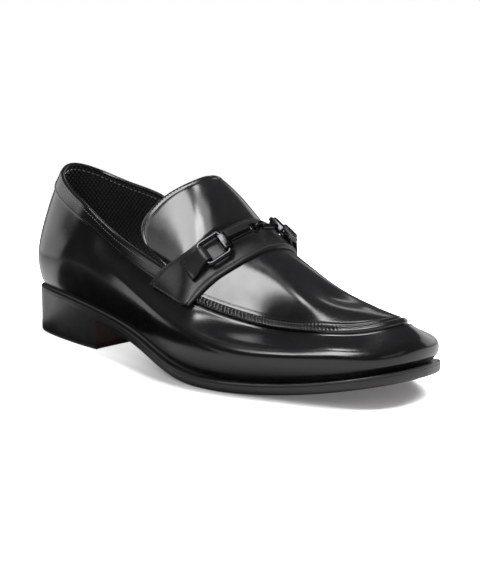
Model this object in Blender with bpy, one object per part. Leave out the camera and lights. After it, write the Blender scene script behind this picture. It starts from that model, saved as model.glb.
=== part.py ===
"""Bit loafer, right shoe: a dress slip-on with an apron toe, a tongue, a saddle strap and a metal bit.

+X points to the toe, +Y to the inner side of the foot, +Z up. The origin is the middle of the heel's
flat bottom, which stands on z = 0. All sizes are metres.
"""
import math

import bmesh
import bpy
import numpy as np

# driving sizes
LENGTH = 0.2866             # of the last's feather edge, heel to toe
BALL_WIDTH = 0.1051
SOLE_THICK = 0.0065
HEEL_HEIGHT = 0.0210        # bottom of the outsole above the floor at the heel
TOE_SPRING = 0.0130
BACK_HEIGHT = 0.0703        # topline above the sole at the back
HEEL_LENGTH = 0.0772
WELT = 0.0028               # how far the outsole stands out of the upper at the ball
WALL = 0.0020               # leather with its lining
GAP = 0.0003                # air between two pieces that touch
SEAT_AIR = 0.0001           # more of it under the strap and its tabs, where facets cut across a curve
TONGUE_AIR = 0.0002         # and between the tongue and the wall over it
APRON_STEP = 0.0011         # the puckered edge of the apron stands this far out of the wall
APRON_EDGE = 0.0038         # height of that edge, from the shoulder line down the wall
BAND_STEP = 0.0008
BAND_WIDTH = 0.009          # collar band under the topline
INSOLE_THICK = 0.0030
TONGUE_THICK = 0.0020
TONGUE_SINK = 0.0003        # the tongue's free face below the apron's
TONGUE_TUCK = 0.45          # rows that the tongue goes on under the vamp
STRAP_THICK = 0.0019
TAB_THICK = 0.0013
TAB_FOOT_WIDTH = 0.0140
TAB_RING_WIDTH = 0.0098
RING_LENGTH = 0.0165        # along the strap, outside
RING_WIDTH = 0.0165         # across the strap, outside
RING_CORNER = 0.0016        # radius of a corner's middle line
WIRE = 0.0028               # thickness of a ring's bar
SLEEVE_WIDTH = 0.0096
SLEEVE_ROUND = 0.0029       # outer radius of the sleeve on a ring's inner bar
ROD = 0.0036
EYE_RADIUS = 0.0027
EYE_WIRE = 0.0021
RING_LIFT = 0.0036          # ring's middle plane above the strap
JOINT_LIFT = 0.0045
HEEL_SET = HEEL_LENGTH / 2
STRAP_BASE = APRON_STEP + GAP + SEAT_AIR
STRAP_TOP = STRAP_BASE + STRAP_THICK

# the last, in eleven rows from the back of the heel (0) to the tip of the toe (10)
# feather edge: along / LENGTH, outer / BALL_WIDTH, inner / BALL_WIDTH
FEATHER = ((0.000, 0.000, 0.000), (0.026, 0.205, 0.205), (0.105, 0.298, 0.298), (0.240, 0.352, 0.300),
           (0.380, 0.378, 0.245), (0.530, 0.485, 0.335), (0.670, 0.522, 0.470), (0.800, 0.416, 0.455),
           (0.900, 0.320, 0.360), (0.975, 0.196, 0.225), (1.000, 0.000, 0.000))
# widest place of the side: lean along / LENGTH, push outer and inner / BALL_WIDTH, rise / BACK_HEIGHT
BULGE = ((-0.0170, 0.000, 0.000, 0.384), (-0.0076, 0.007, 0.024, 0.384), (-0.0036, 0.052, 0.044, 0.380),
         (0.0000, 0.039, 0.058, 0.380), (0.0000, 0.039, 0.087, 0.380), (0.0000, 0.039, 0.068, 0.360),
         (0.0000, 0.029, 0.034, 0.270), (0.0014, 0.025, 0.025, 0.220), (0.0010, 0.019, 0.020, 0.172),
         (-0.0040, 0.012, 0.012, 0.115), (0.0050, 0.000, 0.000, 0.155))
# topline and apron seam: along / LENGTH, outer and inner / BALL_WIDTH, rise / BACK_HEIGHT
SHOULDER = ((0.036, 0.000, 0.000, 1.032), (0.059, 0.128, 0.153, 0.970), (0.133, 0.230, 0.232, 0.879),
            (0.226, 0.304, 0.277, 0.801), (0.331, 0.301, 0.223, 0.650), (0.517, 0.383, 0.235, 0.612),
            (0.597, 0.415, 0.297, 0.540), (0.724, 0.288, 0.245, 0.421), (0.832, 0.250, 0.215, 0.390),
            (0.908, 0.143, 0.139, 0.354), (0.955, 0.000, 0.000, 0.362))
# crest of the instep and vamp: along / LENGTH, side / BALL_WIDTH, rise / BACK_HEIGHT
RIDGE = ((0.120, 0.000, 1.300), (0.140, 0.000, 1.340), (0.180, -0.010, 1.370), (0.250, -0.030, 1.387),
         (0.344, -0.050, 1.418), (0.503, -0.065, 1.329), (0.600, -0.045, 1.018), (0.709, -0.046, 0.795),
         (0.784, -0.027, 0.582), (0.845, -0.003, 0.490), (0.880, 0.000, 0.463))
# roundness between shoulder and crest: push / distance between them
CROWN = (0.0, 0.10, 0.13, 0.15, 0.15, 0.15, 0.15, 0.15, 0.14, 0.13, 0.0)
# line of the sole's bottom: along / LENGTH, share of HEEL_HEIGHT, share of TOE_SPRING
SOLE_LINE = ((-0.06, 1.10, 0.00), (0.00, 1.06, 0.00), (0.12, 1.00, 0.00), (0.24, 0.86, 0.00),
             (0.38, 0.50, 0.00), (0.53, 0.12, 0.00), (0.63, 0.00, 0.00), (0.69, 0.00, 0.00),
             (0.78, 0.00, 0.10), (0.90, 0.00, 0.50), (1.00, 0.00, 1.00), (1.06, 0.00, 1.30))
# welt: along / LENGTH, share of WELT
WELT_LINE = ((0.00, 0.60), (0.25, 0.50), (0.45, 0.60), (0.60, 1.00), (1.00, 1.20))

# Places on the last are (row, level): 0 feather edge, 1 bulge, 2 shoulder, 3 ridge, 6 inner feather edge.
SHOULDER_LEVEL = 2
RIDGE_LEVEL = 3
EDGE_RISE = 0.02            # levels that the apron's edge takes to stand out
BAND_RISE = 0.04            # and the collar band's
# edge of the vamp under the strap: level, row
THROAT = ((2.00, 5.25), (2.25, 5.50), (2.50, 5.84), (2.75, 6.02), (3.00, 6.06))
# the strap's edges: level, back row, front row
STRAP = ((1.58, 4.58, 5.66), (1.77, 4.62, 5.80), (1.95, 4.70, 5.96), (2.10, 4.86, 6.08), (2.28, 5.24, 6.22),
         (2.45, 5.55, 6.36), (2.60, 5.73, 6.46), (2.80, 5.83, 6.56), (3.00, 5.84, 6.61))
STRAP_FOOT = (1.60, 1.80)   # level of the strap's lower end at its back and front corner
# the tongue's free edge, from where it goes in under the quarter to its tip: row, level
TONGUE_EDGE = ((5.20, 1.80), (4.94, 1.93), (4.64, 2.04), (4.40, 2.12), (4.29, 2.25), (4.38, 2.41),
               (4.55, 2.57), (4.74, 2.72), (4.87, 2.87), (4.91, 3.00))
# the bit's places: row, level
OUTER_TAB_FOOT = (5.66, 2.15)
OUTER_RING = (5.95, 2.48)
BIT_JOINT = (6.19, 2.91)
INNER_RING = (6.11, 3.32)
INNER_TAB_FOOT = (5.92, 3.68)

# faceting
WALL_LEVELS = (0, 0.2, 0.45, 0.72, 1.0, 1.28)
BACK_COLUMNS = 22           # each side, heel to throat
FRONT_COLUMNS = 22          # each side, throat to toe
VAMP_LEVELS = 8
STRAP_ACROSS = 9
TONGUE_COLUMNS = 17         # each side
TONGUE_ROWS = 14
STRAP_ALONG = 44


def cubic(knots, values, at, period=None):
    """Values at `at` of the smooth cubic curve through (knots, values); closed where a period is given."""
    k = np.asarray(knots, float)
    y = np.asarray(values, float)
    flat = y.reshape(len(y), -1)
    if period is not None:
        k = np.append(k, k[0] + period)
        flat = np.vstack([flat, flat[:1]])
    h = np.diff(k)
    m = len(k)
    a = np.zeros((m, m))
    b = np.zeros((m, flat.shape[1]))
    slope = np.diff(flat, axis=0) / h[:, None]
    for i in range(1, m - 1):
        a[i, i - 1:i + 2] = h[i - 1], 2 * (h[i - 1] + h[i]), h[i]
        b[i] = 6 * (slope[i] - slope[i - 1])
    if period is None:
        a[0, 0] = a[-1, -1] = 1
    else:
        a[0, 0], a[0, 1], a[0, -2] = 2 * (h[-1] + h[0]), h[0], h[-1]
        b[0] = 6 * (slope[0] - slope[-1])
        a[-1, 0], a[-1, -1] = 1, -1
    bend = np.linalg.solve(a, b)
    x = np.asarray(at, float)
    if period is not None:
        x = k[0] + np.mod(x - k[0], period)
    i = np.clip(np.searchsorted(k, x, side="right") - 1, 0, m - 2)
    span = h[i][:, None]
    past = (x - k[i])[:, None]
    left = span - past
    near = bend[i] * left ** 3 / (6 * span) + (flat[i] / span - bend[i] * span / 6) * left
    far = bend[i + 1] * past ** 3 / (6 * span) + (flat[i + 1] / span - bend[i + 1] * span / 6) * past
    return (near + far).reshape((len(x),) + y.shape[1:])


def smooth(t):
    """0 to 1 as t goes from 0 to 1, level at both ends."""
    t = np.clip(t, 0, 1)
    return t * t * (3 - 2 * t)


def table(rows, at, column=1):
    """One column of a table, read straight between its rows."""
    rows = np.asarray(rows)
    return np.interp(at, rows[:, 0], rows[:, column])


def sole_bottom(x):
    """Height of the outsole's bottom at x; flat on the floor under the ball."""
    line = np.asarray(SOLE_LINE)
    along = (np.atleast_1d(x) + HEEL_SET) / LENGTH
    share = cubic(line[:, 0], line[:, 1:], along)
    return np.maximum(share[:, 0] * HEEL_HEIGHT + share[:, 1] * TOE_SPRING, 0)


def last_net():
    """Points of the last: eleven outer rows and nine inner ones, five levels each."""
    rows = list(range(11)) + list(range(9, 0, -1))
    sides = [-1] * 11 + [1] * 9
    net = np.zeros((len(rows), 5, 3))
    for k, (r, side) in enumerate(zip(rows, sides)):
        hand = 1 if side < 0 else 2
        x = FEATHER[r][0] * LENGTH - HEEL_SET
        y = side * FEATHER[r][hand] * BALL_WIDTH
        top = sole_bottom(x)[0] + SOLE_THICK
        net[k, 0] = x, y, top
        push = side * BULGE[r][hand] * BALL_WIDTH
        net[k, 1] = x + BULGE[r][0] * LENGTH, y + push, top + BULGE[r][3] * BACK_HEIGHT
        x = SHOULDER[r][0] * LENGTH - HEEL_SET
        top = sole_bottom(x)[0] + SOLE_THICK
        net[k, 2] = x, side * SHOULDER[r][hand] * BALL_WIDTH, top + SHOULDER[r][3] * BACK_HEIGHT
        x = RIDGE[r][0] * LENGTH - HEEL_SET
        top = sole_bottom(x)[0] + SOLE_THICK
        net[k, 4] = x, RIDGE[r][1] * BALL_WIDTH, top + RIDGE[r][2] * BACK_HEIGHT
        rise = net[k, 4] - net[k, 2]
        net[k, 3] = (net[k, 4] + net[k, 2]) / 2 + CROWN[r] * np.array((0, side * rise[2], -side * rise[1]))
    return net


LEVELS = (0, 1, 2, 2.5, 3, 3.5, 4, 5, 6)
NET = last_net()
CHORD = np.sqrt(np.linalg.norm(np.roll(NET[:, 0], -1, 0) - NET[:, 0], axis=1))
CHORD = (CHORD + CHORD[::-1]) / 2           # rows of both sides share their parameter
KNOTS = np.append(0, np.cumsum(CHORD)[:-1])
ROUND = CHORD.sum()
TIP_BACK = ROUND / 120      # the crest's tip takes its normal from this far behind it


def station(row):
    """Parameter round the last of a row on the outer side; ROUND minus it is the same row inside."""
    return np.interp(row, np.arange(11), KNOTS[:11])


def last_point(u, v):
    """Points of the last at matching arrays of station and level."""
    u = np.asarray(u, float).ravel()
    v = np.asarray(v, float).ravel()
    near = cubic(KNOTS, NET, u, ROUND)
    far = cubic(KNOTS, NET, ROUND - u, ROUND)
    ring = np.concatenate([near, far[:, 3::-1]], axis=1)
    basis = cubic(LEVELS, np.eye(len(LEVELS)), v)
    return np.einsum("nk,nkc->nc", basis, ring)


def last_normal(u, v):
    """Outward unit normals of the last at matching arrays of station and level."""
    u = np.asarray(u, float).ravel()
    v = np.asarray(v, float).ravel()
    du, dv = 1e-4, 1e-3
    along = last_point(u + du, v) - last_point(u - du, v)
    up = last_point(u, v + dv) - last_point(u, v - dv)
    n = np.cross(along, up)
    return n / np.linalg.norm(n, axis=1)[:, None]


def raised(u, v, band, edge):
    """How far the leather stands out of the last: the apron, and the band under the collar.

    band and edge are the levels of their lower edges.
    """
    row = np.interp(np.minimum(u, ROUND - u), KNOTS[:11], np.arange(11))
    level = np.minimum(v, 6 - v)
    apron = APRON_STEP * smooth((level - edge) / EDGE_RISE)
    collar = BAND_STEP * smooth((level - band) / BAND_RISE)
    behind = smooth((THROAT[0][1] - 0.1 - row) / 0.2)
    return apron * (1 - behind) + collar * behind


def on_last(row, level, height):
    """Points at (row, level) raised by height along the normal; a level above 3 lies on the inner side."""
    row, level, height = np.broadcast_arrays(*(np.asarray(c, float) for c in (row, level, height)))
    u = station(row).ravel()
    points = last_point(u, level) + last_normal(u, level) * height.ravel()[:, None]
    return points.reshape(row.shape + (3,))


def under(points):
    """Station, level and height over the last of points near the instep."""
    row, level = (c.ravel() for c in np.meshgrid(np.linspace(4.6, 7.4, 29), np.linspace(1.5, 4.5, 31)))
    near = np.linalg.norm(points[:, None] - last_point(station(row), level)[None], axis=2).argmin(axis=1)
    u, v = station(row)[near], level[near]
    step = 1e-4
    for _ in range(8):
        foot = last_point(u, v)
        du = (last_point(u + step, v) - foot) / step
        dv = (last_point(u, v + step) - foot) / step
        a, b, c = (du * du).sum(1), (du * dv).sum(1), (dv * dv).sum(1)
        p, q = ((points - foot) * du).sum(1), ((points - foot) * dv).sum(1)
        u = u + (p * c - q * b) / (a * c - b * b)
        v = v + (q * a - p * b) / (a * c - b * b)
    return u, v, ((points - last_point(u, v)) * last_normal(u, v)).sum(1)


def lifted(points, least):
    """Points moved out along the last's normal where they lie lower than least over it."""
    flat = points.reshape(-1, 3)
    u, v, height = under(flat)
    short = np.maximum(np.broadcast_to(least, points.shape[:2]).ravel() - height, 0)
    return (flat + last_normal(u, v) * short[:, None]).reshape(points.shape)


# meshes

def add_object(name, verts, faces, material, smooth_angle=40):
    """An object from points and faces, triangulated and smooth but for its sharp edges."""
    mesh = bpy.data.meshes.new(name)
    mesh.from_pydata([tuple(map(float, v)) for v in verts], [], faces)
    bm = bmesh.new()
    bm.from_mesh(mesh)
    bmesh.ops.remove_doubles(bm, verts=bm.verts, dist=1e-6)
    bmesh.ops.dissolve_degenerate(bm, edges=bm.edges, dist=1e-6)
    bmesh.ops.recalc_face_normals(bm, faces=bm.faces)
    bmesh.ops.triangulate(bm, faces=bm.faces)
    bm.to_mesh(mesh)
    bm.free()
    mesh.shade_smooth()
    mesh.set_sharp_from_angle(angle=math.radians(smooth_angle))
    mesh.materials.append(material)
    obj = bpy.data.objects.new(name, mesh)
    bpy.context.collection.objects.link(obj)
    return obj


def grid_faces(rows, columns):
    """Quads of an open grid of points."""
    faces = []
    for i in range(rows - 1):
        for j in range(columns - 1):
            a = i * columns + j
            faces.append((a, a + 1, a + columns + 1, a + columns))
    return faces


def closed(verts, inner, faces):
    """Points and faces of the solid between a sheet and its inner copy."""
    count = len(verts)
    edges = {}
    for f in faces:
        for a, b in zip(f, f[1:] + f[:1]):
            edges[(a, b)] = edges.get((a, b), 0) + 1
    rim = [(a, b) for a, b in edges if (b, a) not in edges]
    both = faces + [tuple(count + i for i in reversed(f)) for f in faces]
    both += [(b, a, count + a, count + b) for a, b in rim]
    return list(verts) + list(inner), both


def sheet(name, outer, inner, material, smooth_angle=40):
    """A solid between two matching grids of points."""
    rows, columns = outer.shape[:2]
    faces = grid_faces(rows, columns)
    verts, faces = closed(outer.reshape(-1, 3), inner.reshape(-1, 3), faces)
    return add_object(name, verts, faces, material, smooth_angle)


def material(name, colour, roughness, metallic=0.0):
    mat = bpy.data.materials.new(name)
    mat.use_nodes = True
    shader = mat.node_tree.nodes["Principled BSDF"]
    shader.inputs["Base Color"].default_value = (*colour, 1)
    shader.inputs["Roughness"].default_value = roughness
    shader.inputs["Metallic"].default_value = metallic
    return mat


# upper

def level_under(u, drop, reach):
    """Levels of a line that runs drop under the shoulder line; reach is about as many levels."""
    top = last_point(u, np.full(len(u), SHOULDER_LEVEL))
    low = last_point(u, np.full(len(u), SHOULDER_LEVEL - reach))
    return SHOULDER_LEVEL - reach * drop / np.linalg.norm(top - low, axis=1)


def upper_columns():
    """Stations round the last; the throat's corners fall on one each side."""
    back = np.linspace(station(0), station(THROAT[0][1]), BACK_COLUMNS + 1)
    front = np.linspace(station(THROAT[0][1]), station(10), FRONT_COLUMNS + 1)
    side = np.append(back, front[1:])
    return np.append(side, (ROUND - side)[-2:0:-1])


def vamp_station(u, level):
    """Station of a column that starts at u on the shoulder, as it goes up over the vamp."""
    near = np.minimum(u, ROUND - u)
    corner, toe = station(THROAT[0][1]), station(10)
    edge = station(table(THROAT, level))
    shifted = edge + (near - corner) * (toe - edge) / (toe - corner)
    return np.where(u <= toe, shifted, ROUND - shifted)


def upper(leather):
    """Quarters, vamp and raised apron as one wall, open at the collar and underneath."""
    u = upper_columns()
    count = len(u)
    band = level_under(u, BAND_WIDTH, 0.5)
    edge = level_under(u, APRON_EDGE, 0.15)
    wall = [np.full(count, level) for level in WALL_LEVELS]
    wall += [band - BAND_RISE, band, (band + edge) / 2, edge, edge + EDGE_RISE]
    wall += [np.full(count, SHOULDER_LEVEL)]
    columns = [np.array([u, level]) for level in wall]
    first, last = BACK_COLUMNS, count - BACK_COLUMNS
    vamp = np.linspace(SHOULDER_LEVEL, RIDGE_LEVEL, VAMP_LEVELS + 1)[1:]
    for level in vamp:
        columns.append(np.array([vamp_station(u, level), np.full(count, level)]))
    top = len(columns) - 1

    index = {}
    places = []

    def corner(i, j):
        """Number of a grid point; both sides share the points of the crest."""
        i %= count
        if j == top and i > count // 2:
            i = count - i
        if (i, j) not in index:
            index[i, j] = len(places)
            places.append((i, j))
        return index[i, j]

    faces = []
    for j in range(top):
        over = j >= len(wall) - 1
        for i in range(first, last) if over else range(count):
            faces.append((corner(i, j), corner(i + 1, j), corner(i + 1, j + 1), corner(i, j + 1)))
    i, j = np.array(places).T
    grid = np.array(columns)
    uu, vv = grid[j, 0, i], grid[j, 1, i]
    tip = (i == count // 2) & (j == top)
    point = last_point(uu, vv)
    normal = last_normal(np.where(tip, uu - TIP_BACK, uu), vv)
    outer = point + normal * raised(uu, vv, band[i], edge[i])[:, None]
    low = j == 0
    flat = normal * (1, 1, 0)
    flat /= np.linalg.norm(flat, axis=1)[:, None]
    inner = np.where(low[:, None], point - flat * WALL, point - normal * WALL)
    inner[low, 2] = sole_bottom(inner[low, 0]) + SOLE_THICK
    verts, faces = closed(outer, inner, faces)
    return add_object("upper", verts, faces, leather, 55)


# sole

def outline(margin):
    """The feather edge moved out by margin: outer half and inner half, heel to toe."""
    u = np.linspace(0, ROUND, 600, endpoint=False)
    edge = last_point(u, np.zeros(len(u)))
    tangent = np.roll(edge, -1, 0) - np.roll(edge, 1, 0)
    out = np.stack([tangent[:, 1], -tangent[:, 0]], axis=1)
    out /= np.linalg.norm(out, axis=1)[:, None]
    along = (edge[:, 0] + HEEL_SET) / LENGTH
    width = margin(along)
    flat = edge[:, :2] + out * np.broadcast_to(width, len(u))[:, None]
    back, tip = flat[:, 0].argmin(), flat[:, 0].argmax()
    flat = np.roll(flat, -back, 0)
    tip = (tip - back) % len(u)
    return flat[:tip + 1], np.vstack([flat[tip:], flat[:1]])[::-1]


def plate(name, halves, start, end, low, high, mat, stations=44, across=6, ends=(1, 1)):
    """A slab inside an outline, from x = start to x = end; low and high give its faces' heights at x."""
    turn = np.linspace(0 if ends[0] else 0.5, 1 if ends[1] else 0.5, stations)
    ease = (1 - np.cos(math.pi * turn)) / 2
    ease = (ease - ease[0]) / (ease[-1] - ease[0])
    x = start + (end - start) * ease
    sides = [np.interp(x, half[:, 0], half[:, 1]) for half in halves]
    share = np.linspace(0, 1, across)
    y = sides[0][:, None] * (1 - share) + sides[1][:, None] * share
    xx = np.broadcast_to(x[:, None], y.shape)
    top = np.stack([xx, y, np.broadcast_to(high(x)[:, None], y.shape)], axis=2)
    base = np.stack([xx, y, np.broadcast_to(low(x)[:, None], y.shape)], axis=2)
    return sheet(name, top, base, mat, 50)


def above_sole(height):
    """A face that follows the outsole's bottom, height above it."""
    return lambda x: sole_bottom(x) + height


def sole_pieces(edge_leather, heel_leather, lining):
    """Outsole with its welt, heel block under it and insole inside the wall."""
    halves = outline(lambda along: WELT * table(WELT_LINE, along))
    back, toe = halves[0][0, 0], halves[0][-1, 0]
    plate("outsole", halves, back, toe, above_sole(0), above_sole(SOLE_THICK - GAP), edge_leather, 60)
    breast = HEEL_LENGTH - HEEL_SET
    plate("heel", halves, back, breast, np.zeros_like, above_sole(-GAP), heel_leather, 24, ends=(1, 0))
    inside = outline(lambda along: 0 * along - WALL - 2 * GAP)
    back, toe = inside[0][0, 0], inside[0][-1, 0]
    top = SOLE_THICK + INSOLE_THICK
    plate("insole", inside, back, toe, above_sole(SOLE_THICK), above_sole(top), lining, 40)


# tongue and strap

def along_list(points, count):
    """Points spaced evenly along a smooth curve through a list."""
    p = np.asarray(points, float)
    steps = np.append(0, np.cumsum(np.linalg.norm(np.diff(p, axis=0) * (0.6, 1), axis=1)))
    return cubic(steps, p, np.linspace(0, steps[-1], count))


def tongue_height(row, level):
    """Height of the tongue's face: inside the quarters and the vamp, then up beside the strap."""
    near = np.minimum(level, 6 - level)
    free = smooth((table(THROAT, near) - 0.06 - row) / 0.24) * smooth((near - 2.03) / 0.12)
    hidden = -WALL - GAP - TONGUE_AIR
    return hidden + (APRON_STEP - TONGUE_SINK - hidden) * free


def tongue(leather):
    """The tongue: its free edge stands up behind the strap, its lower end lies inside the vamp."""
    half = along_list(TONGUE_EDGE, TONGUE_COLUMNS)
    far = half[-2::-1] * (1, -1) + (0, 6)
    edge = np.vstack([half, far])
    level = np.linspace(TONGUE_EDGE[0][1], RIDGE_LEVEL, TONGUE_COLUMNS)
    low = np.stack([table(THROAT, level) + TONGUE_TUCK, level], axis=1)
    low = np.vstack([low, low[-2::-1] * (1, -1) + (0, 6)])
    t = np.linspace(0, 1, TONGUE_ROWS)[:, None, None]
    place = edge * (1 - t) + low * t
    row, level = place[..., 0], place[..., 1]
    height = tongue_height(row, level)
    outer = on_last(row, level, height)
    inner = on_last(row, level, height - TONGUE_THICK)
    sheet("tongue", outer, inner, leather)


def strap_place(share, turn):
    """(row, level) on the strap: share 0 back edge to 1 front edge, turn 0 outer end to 1 inner end."""
    fold = 1 - np.abs(2 * turn - 1)
    foot = STRAP_FOOT[0] + (STRAP_FOOT[1] - STRAP_FOOT[0]) * share
    level = foot + (RIDGE_LEVEL - foot) * fold
    edges = np.asarray(STRAP)
    at = np.clip(level, edges[0, 0], RIDGE_LEVEL).ravel()
    back, front = (cubic(edges[:, 0], edges[:, side], at).reshape(level.shape) for side in (1, 2))
    return back + (front - back) * share, np.where(turn > 0.5, 6 - level, level)


def strap(leather):
    """The saddle strap over the instep, sewn down at both feet."""
    share, turn = np.meshgrid(np.linspace(0, 1, STRAP_ACROSS), np.linspace(0, 1, STRAP_ALONG + 1))
    row, level = strap_place(share, turn)
    sheet("strap", on_last(row, level, STRAP_TOP), on_last(row, level, STRAP_BASE), leather)


# bit

def seat(place, lift):
    """Frame on the strap: point, direction towards the inner side, direction to the toe, normal."""
    u = station(place[0])
    v = place[1]
    normal = last_normal([u], [v])[0]
    point = last_point([u], [v])[0] + normal * (STRAP_TOP + lift)
    toe = last_point([u + 1e-3], [v])[0] - last_point([u - 1e-3], [v])[0]
    toe -= normal * toe.dot(normal)
    toe /= np.linalg.norm(toe)
    return point, np.cross(normal, toe), toe, normal


def frame(point, along, normal):
    """A frame whose first axis is along, and whose third lies as near the normal as it can."""
    along = along / np.linalg.norm(along)
    normal = normal - along * normal.dot(along)
    normal /= np.linalg.norm(normal)
    return point, along, np.cross(normal, along), normal


def placed(at, points):
    """Points given in a frame's own axes."""
    origin, a, b, c = at
    p = np.asarray(points, float)
    return origin + p[..., :1] * a + p[..., 1:2] * b + p[..., 2:3] * c


def loop_tube(path, radius, sides=10):
    """Points of a closed wire along a loop in the plane of its frame's first two axes."""
    p = np.asarray(path)
    tangent = np.roll(p, -1, 0) - np.roll(p, 1, 0)
    out = np.stack([tangent[:, 1], -tangent[:, 0], 0 * tangent[:, 0]], axis=1)
    out /= np.linalg.norm(out, axis=1)[:, None]
    turn = 2 * math.pi * (np.arange(sides) + 0.5) / sides
    up = np.array((0, 0, 1.0))
    across = np.cos(turn)[None, :, None] * out[:, None] + np.sin(turn)[None, :, None] * up
    return p[:, None] + radius * across


def tube_faces(count, sides):
    faces = []
    for i in range(count):
        for j in range(sides):
            a, b = i * sides + j, i * sides + (j + 1) % sides
            c, d = (i + 1) % count * sides + (j + 1) % sides, (i + 1) % count * sides + j
            faces.append((a, b, c, d))
    return faces


def ring_path(steps=5):
    """Middle line of a ring: a rectangle with round corners."""
    middle = np.array((RING_LENGTH - WIRE, RING_WIDTH - WIRE)) / 2 - RING_CORNER
    points = []
    for quarter, corner in enumerate(((1, 1), (-1, 1), (-1, -1), (1, -1))):
        for angle in np.linspace(0, math.pi / 2, steps) + quarter * math.pi / 2:
            x, y = middle * corner + RING_CORNER * np.array((math.cos(angle), math.sin(angle)))
            points.append((x, y, 0))
    return np.array(points)


def ring(name, at, metal):
    """A ring of the bit, in its frame's plane."""
    path = ring_path()
    points = loop_tube(path, WIRE / 2)
    add_object(name, placed(at, points).reshape(-1, 3), tube_faces(len(path), points.shape[1]), metal, 60)


def rod_mesh(name, at, start, end, radius, mat, axis=0, sides=16):
    """A round bar in a frame, along its first (0) or second (1) axis."""
    turn = 2 * math.pi * (np.arange(sides) + 0.5) / sides
    verts = []
    for place in (start, end):
        for t in turn:
            side = (radius * math.cos(t), radius * math.sin(t))
            verts.append((place, side[0], side[1]) if axis == 0 else (side[0], place, side[1]))
    faces = [(i, (i + 1) % sides, sides + (i + 1) % sides, sides + i) for i in range(sides)]
    faces += [tuple(range(sides)), tuple(range(2 * sides - 1, sides - 1, -1))]
    return add_object(name, placed(at, verts), faces, mat)


def eye_mesh(name, at, centre, upright, mat, count=20, sides=8):
    """The eye at a bar's end, flat or upright, round a point on the first axis."""
    angle = 2 * math.pi * np.arange(count) / count
    path = np.stack([EYE_RADIUS * np.cos(angle), EYE_RADIUS * np.sin(angle), 0 * angle], axis=1)
    ring_points = loop_tube(path, EYE_WIRE / 2, sides)
    if upright:
        ring_points = np.stack([ring_points[..., 0], -ring_points[..., 2], ring_points[..., 1]], axis=2)
    ring_points = ring_points + (centre, 0, 0)
    return add_object(name, placed(at, ring_points).reshape(-1, 3), tube_faces(count, sides), mat)


def combine(base, tool, operation):
    """Adds the tool to base or cuts it away; the tool stays as a guide."""
    cut = base.modifiers.new(tool.name, "BOOLEAN")
    cut.operation = operation
    cut.solver = "EXACT"
    cut.object = tool
    tool.hide_render = True
    tool.display_type = "WIRE"


def bar(name, seat_frame, link, upright, metal):
    """A bar of the bit: a sleeve on the ring's inner bar, a rod, and an eye in the joint's frame."""
    start, _, _, normal = seat_frame
    centre = link[0] - link[1] * EYE_RADIUS / 2
    at = frame(start, centre - start, normal)
    reach = np.linalg.norm(centre - start) - EYE_RADIUS
    body = rod_mesh(name, seat_frame, -SLEEVE_WIDTH / 2, SLEEVE_WIDTH / 2, SLEEVE_ROUND, metal, axis=1)
    rod = rod_mesh(name + "_rod", at, SLEEVE_ROUND * 0.8, reach, ROD / 2, metal)
    eye = eye_mesh(name + "_eye", link, -EYE_RADIUS / 2, upright, metal)
    bore = rod_mesh(name + "_bore", seat_frame, -SLEEVE_WIDTH, SLEEVE_WIDTH, WIRE / 2 + GAP, metal, axis=1)
    combine(body, rod, "UNION")
    combine(body, eye, "UNION")
    combine(body, bore, "DIFFERENCE")


def tab(name, foot, at, side, leather):
    """A leather tab: up from its foot on the strap, round the ring's outer bar and back underneath."""
    origin, along, toe, normal = at
    bar_at = origin - side * along * (RING_LENGTH - WIRE) / 2
    back = -side * along
    base = seat(foot, GAP)[0]
    run, drop = (base - bar_at).dot(back), (bar_at - base).dot(normal)
    wrap = np.linspace(-math.pi / 2, math.pi / 2 + math.atan2(drop, run), 10)
    legs = np.array((1.0, 0.75, 0.5, 0.25))[:, None]
    across = np.linspace(-0.5, 0.5, 7)

    def profile(radius, low_end, high_end):
        """Up from the foot, round the bar and back above, as (towards the foot, up) pairs."""
        bend = np.stack([-radius * np.cos(wrap), radius * np.sin(wrap)], axis=1)
        low = np.array((run, low_end)) * legs + bend[0] * (1 - legs)
        high = np.array((run, high_end)) * legs[::-1] + bend[-1] * (1 - legs[::-1])
        return np.vstack([low, bend, high])

    def points(pairs):
        """The pairs as points in the row frame, across the tab's width."""
        spread = smooth((pairs[:, 0] / run - 0.15) / 0.85)
        width = TAB_RING_WIDTH + (TAB_FOOT_WIDTH - TAB_RING_WIDTH) * spread
        side_step = width[:, None, None] * across[None, :, None] * toe
        return bar_at + pairs[:, :1, None] * back + pairs[:, 1:, None] * normal + side_step

    inside = WIRE / 2 + GAP
    outer = profile(inside + TAB_THICK, -drop, -drop + 2 * TAB_THICK + GAP)
    inner = profile(inside, -drop + TAB_THICK, -drop + TAB_THICK + GAP)
    over = STRAP_TOP + GAP + SEAT_AIR
    share = np.clip((np.arange(len(outer)) - len(legs)) / (len(wrap) - 1), 0, 1)[:, None]
    out = lifted(points(outer), over + share * (2 * TAB_THICK + GAP))
    core = lifted(points(inner), over + TAB_THICK + share * GAP)
    sheet(name, out, core, leather, 50)


def bit(metal, leather):
    """Two rings held by tabs, and two bars linked in the middle."""
    joint, _, _, top = seat(BIT_JOINT, JOINT_LIFT)
    across = seat(INNER_RING, RING_LIFT)[0] - seat(OUTER_RING, RING_LIFT)[0]
    ends = ((OUTER_RING, OUTER_TAB_FOOT, 1, "outer"), (INNER_RING, INNER_TAB_FOOT, -1, "inner"))
    for place, foot, side, end in ends:
        at = seat(place, RING_LIFT)
        sideways = np.cross(at[3], joint - at[0])
        at = frame(at[0], side * np.cross(sideways, at[3]), at[3])
        ring("ring_" + end, at, metal)
        start = at[0] + side * at[1] * (RING_LENGTH - WIRE) / 2
        link = frame(joint, side * across, top)
        bar("bar_" + end, (start, side * at[1], side * at[2], at[3]), link, end == "inner", metal)
        tab("tab_" + end, foot, at, side, leather)


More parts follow.
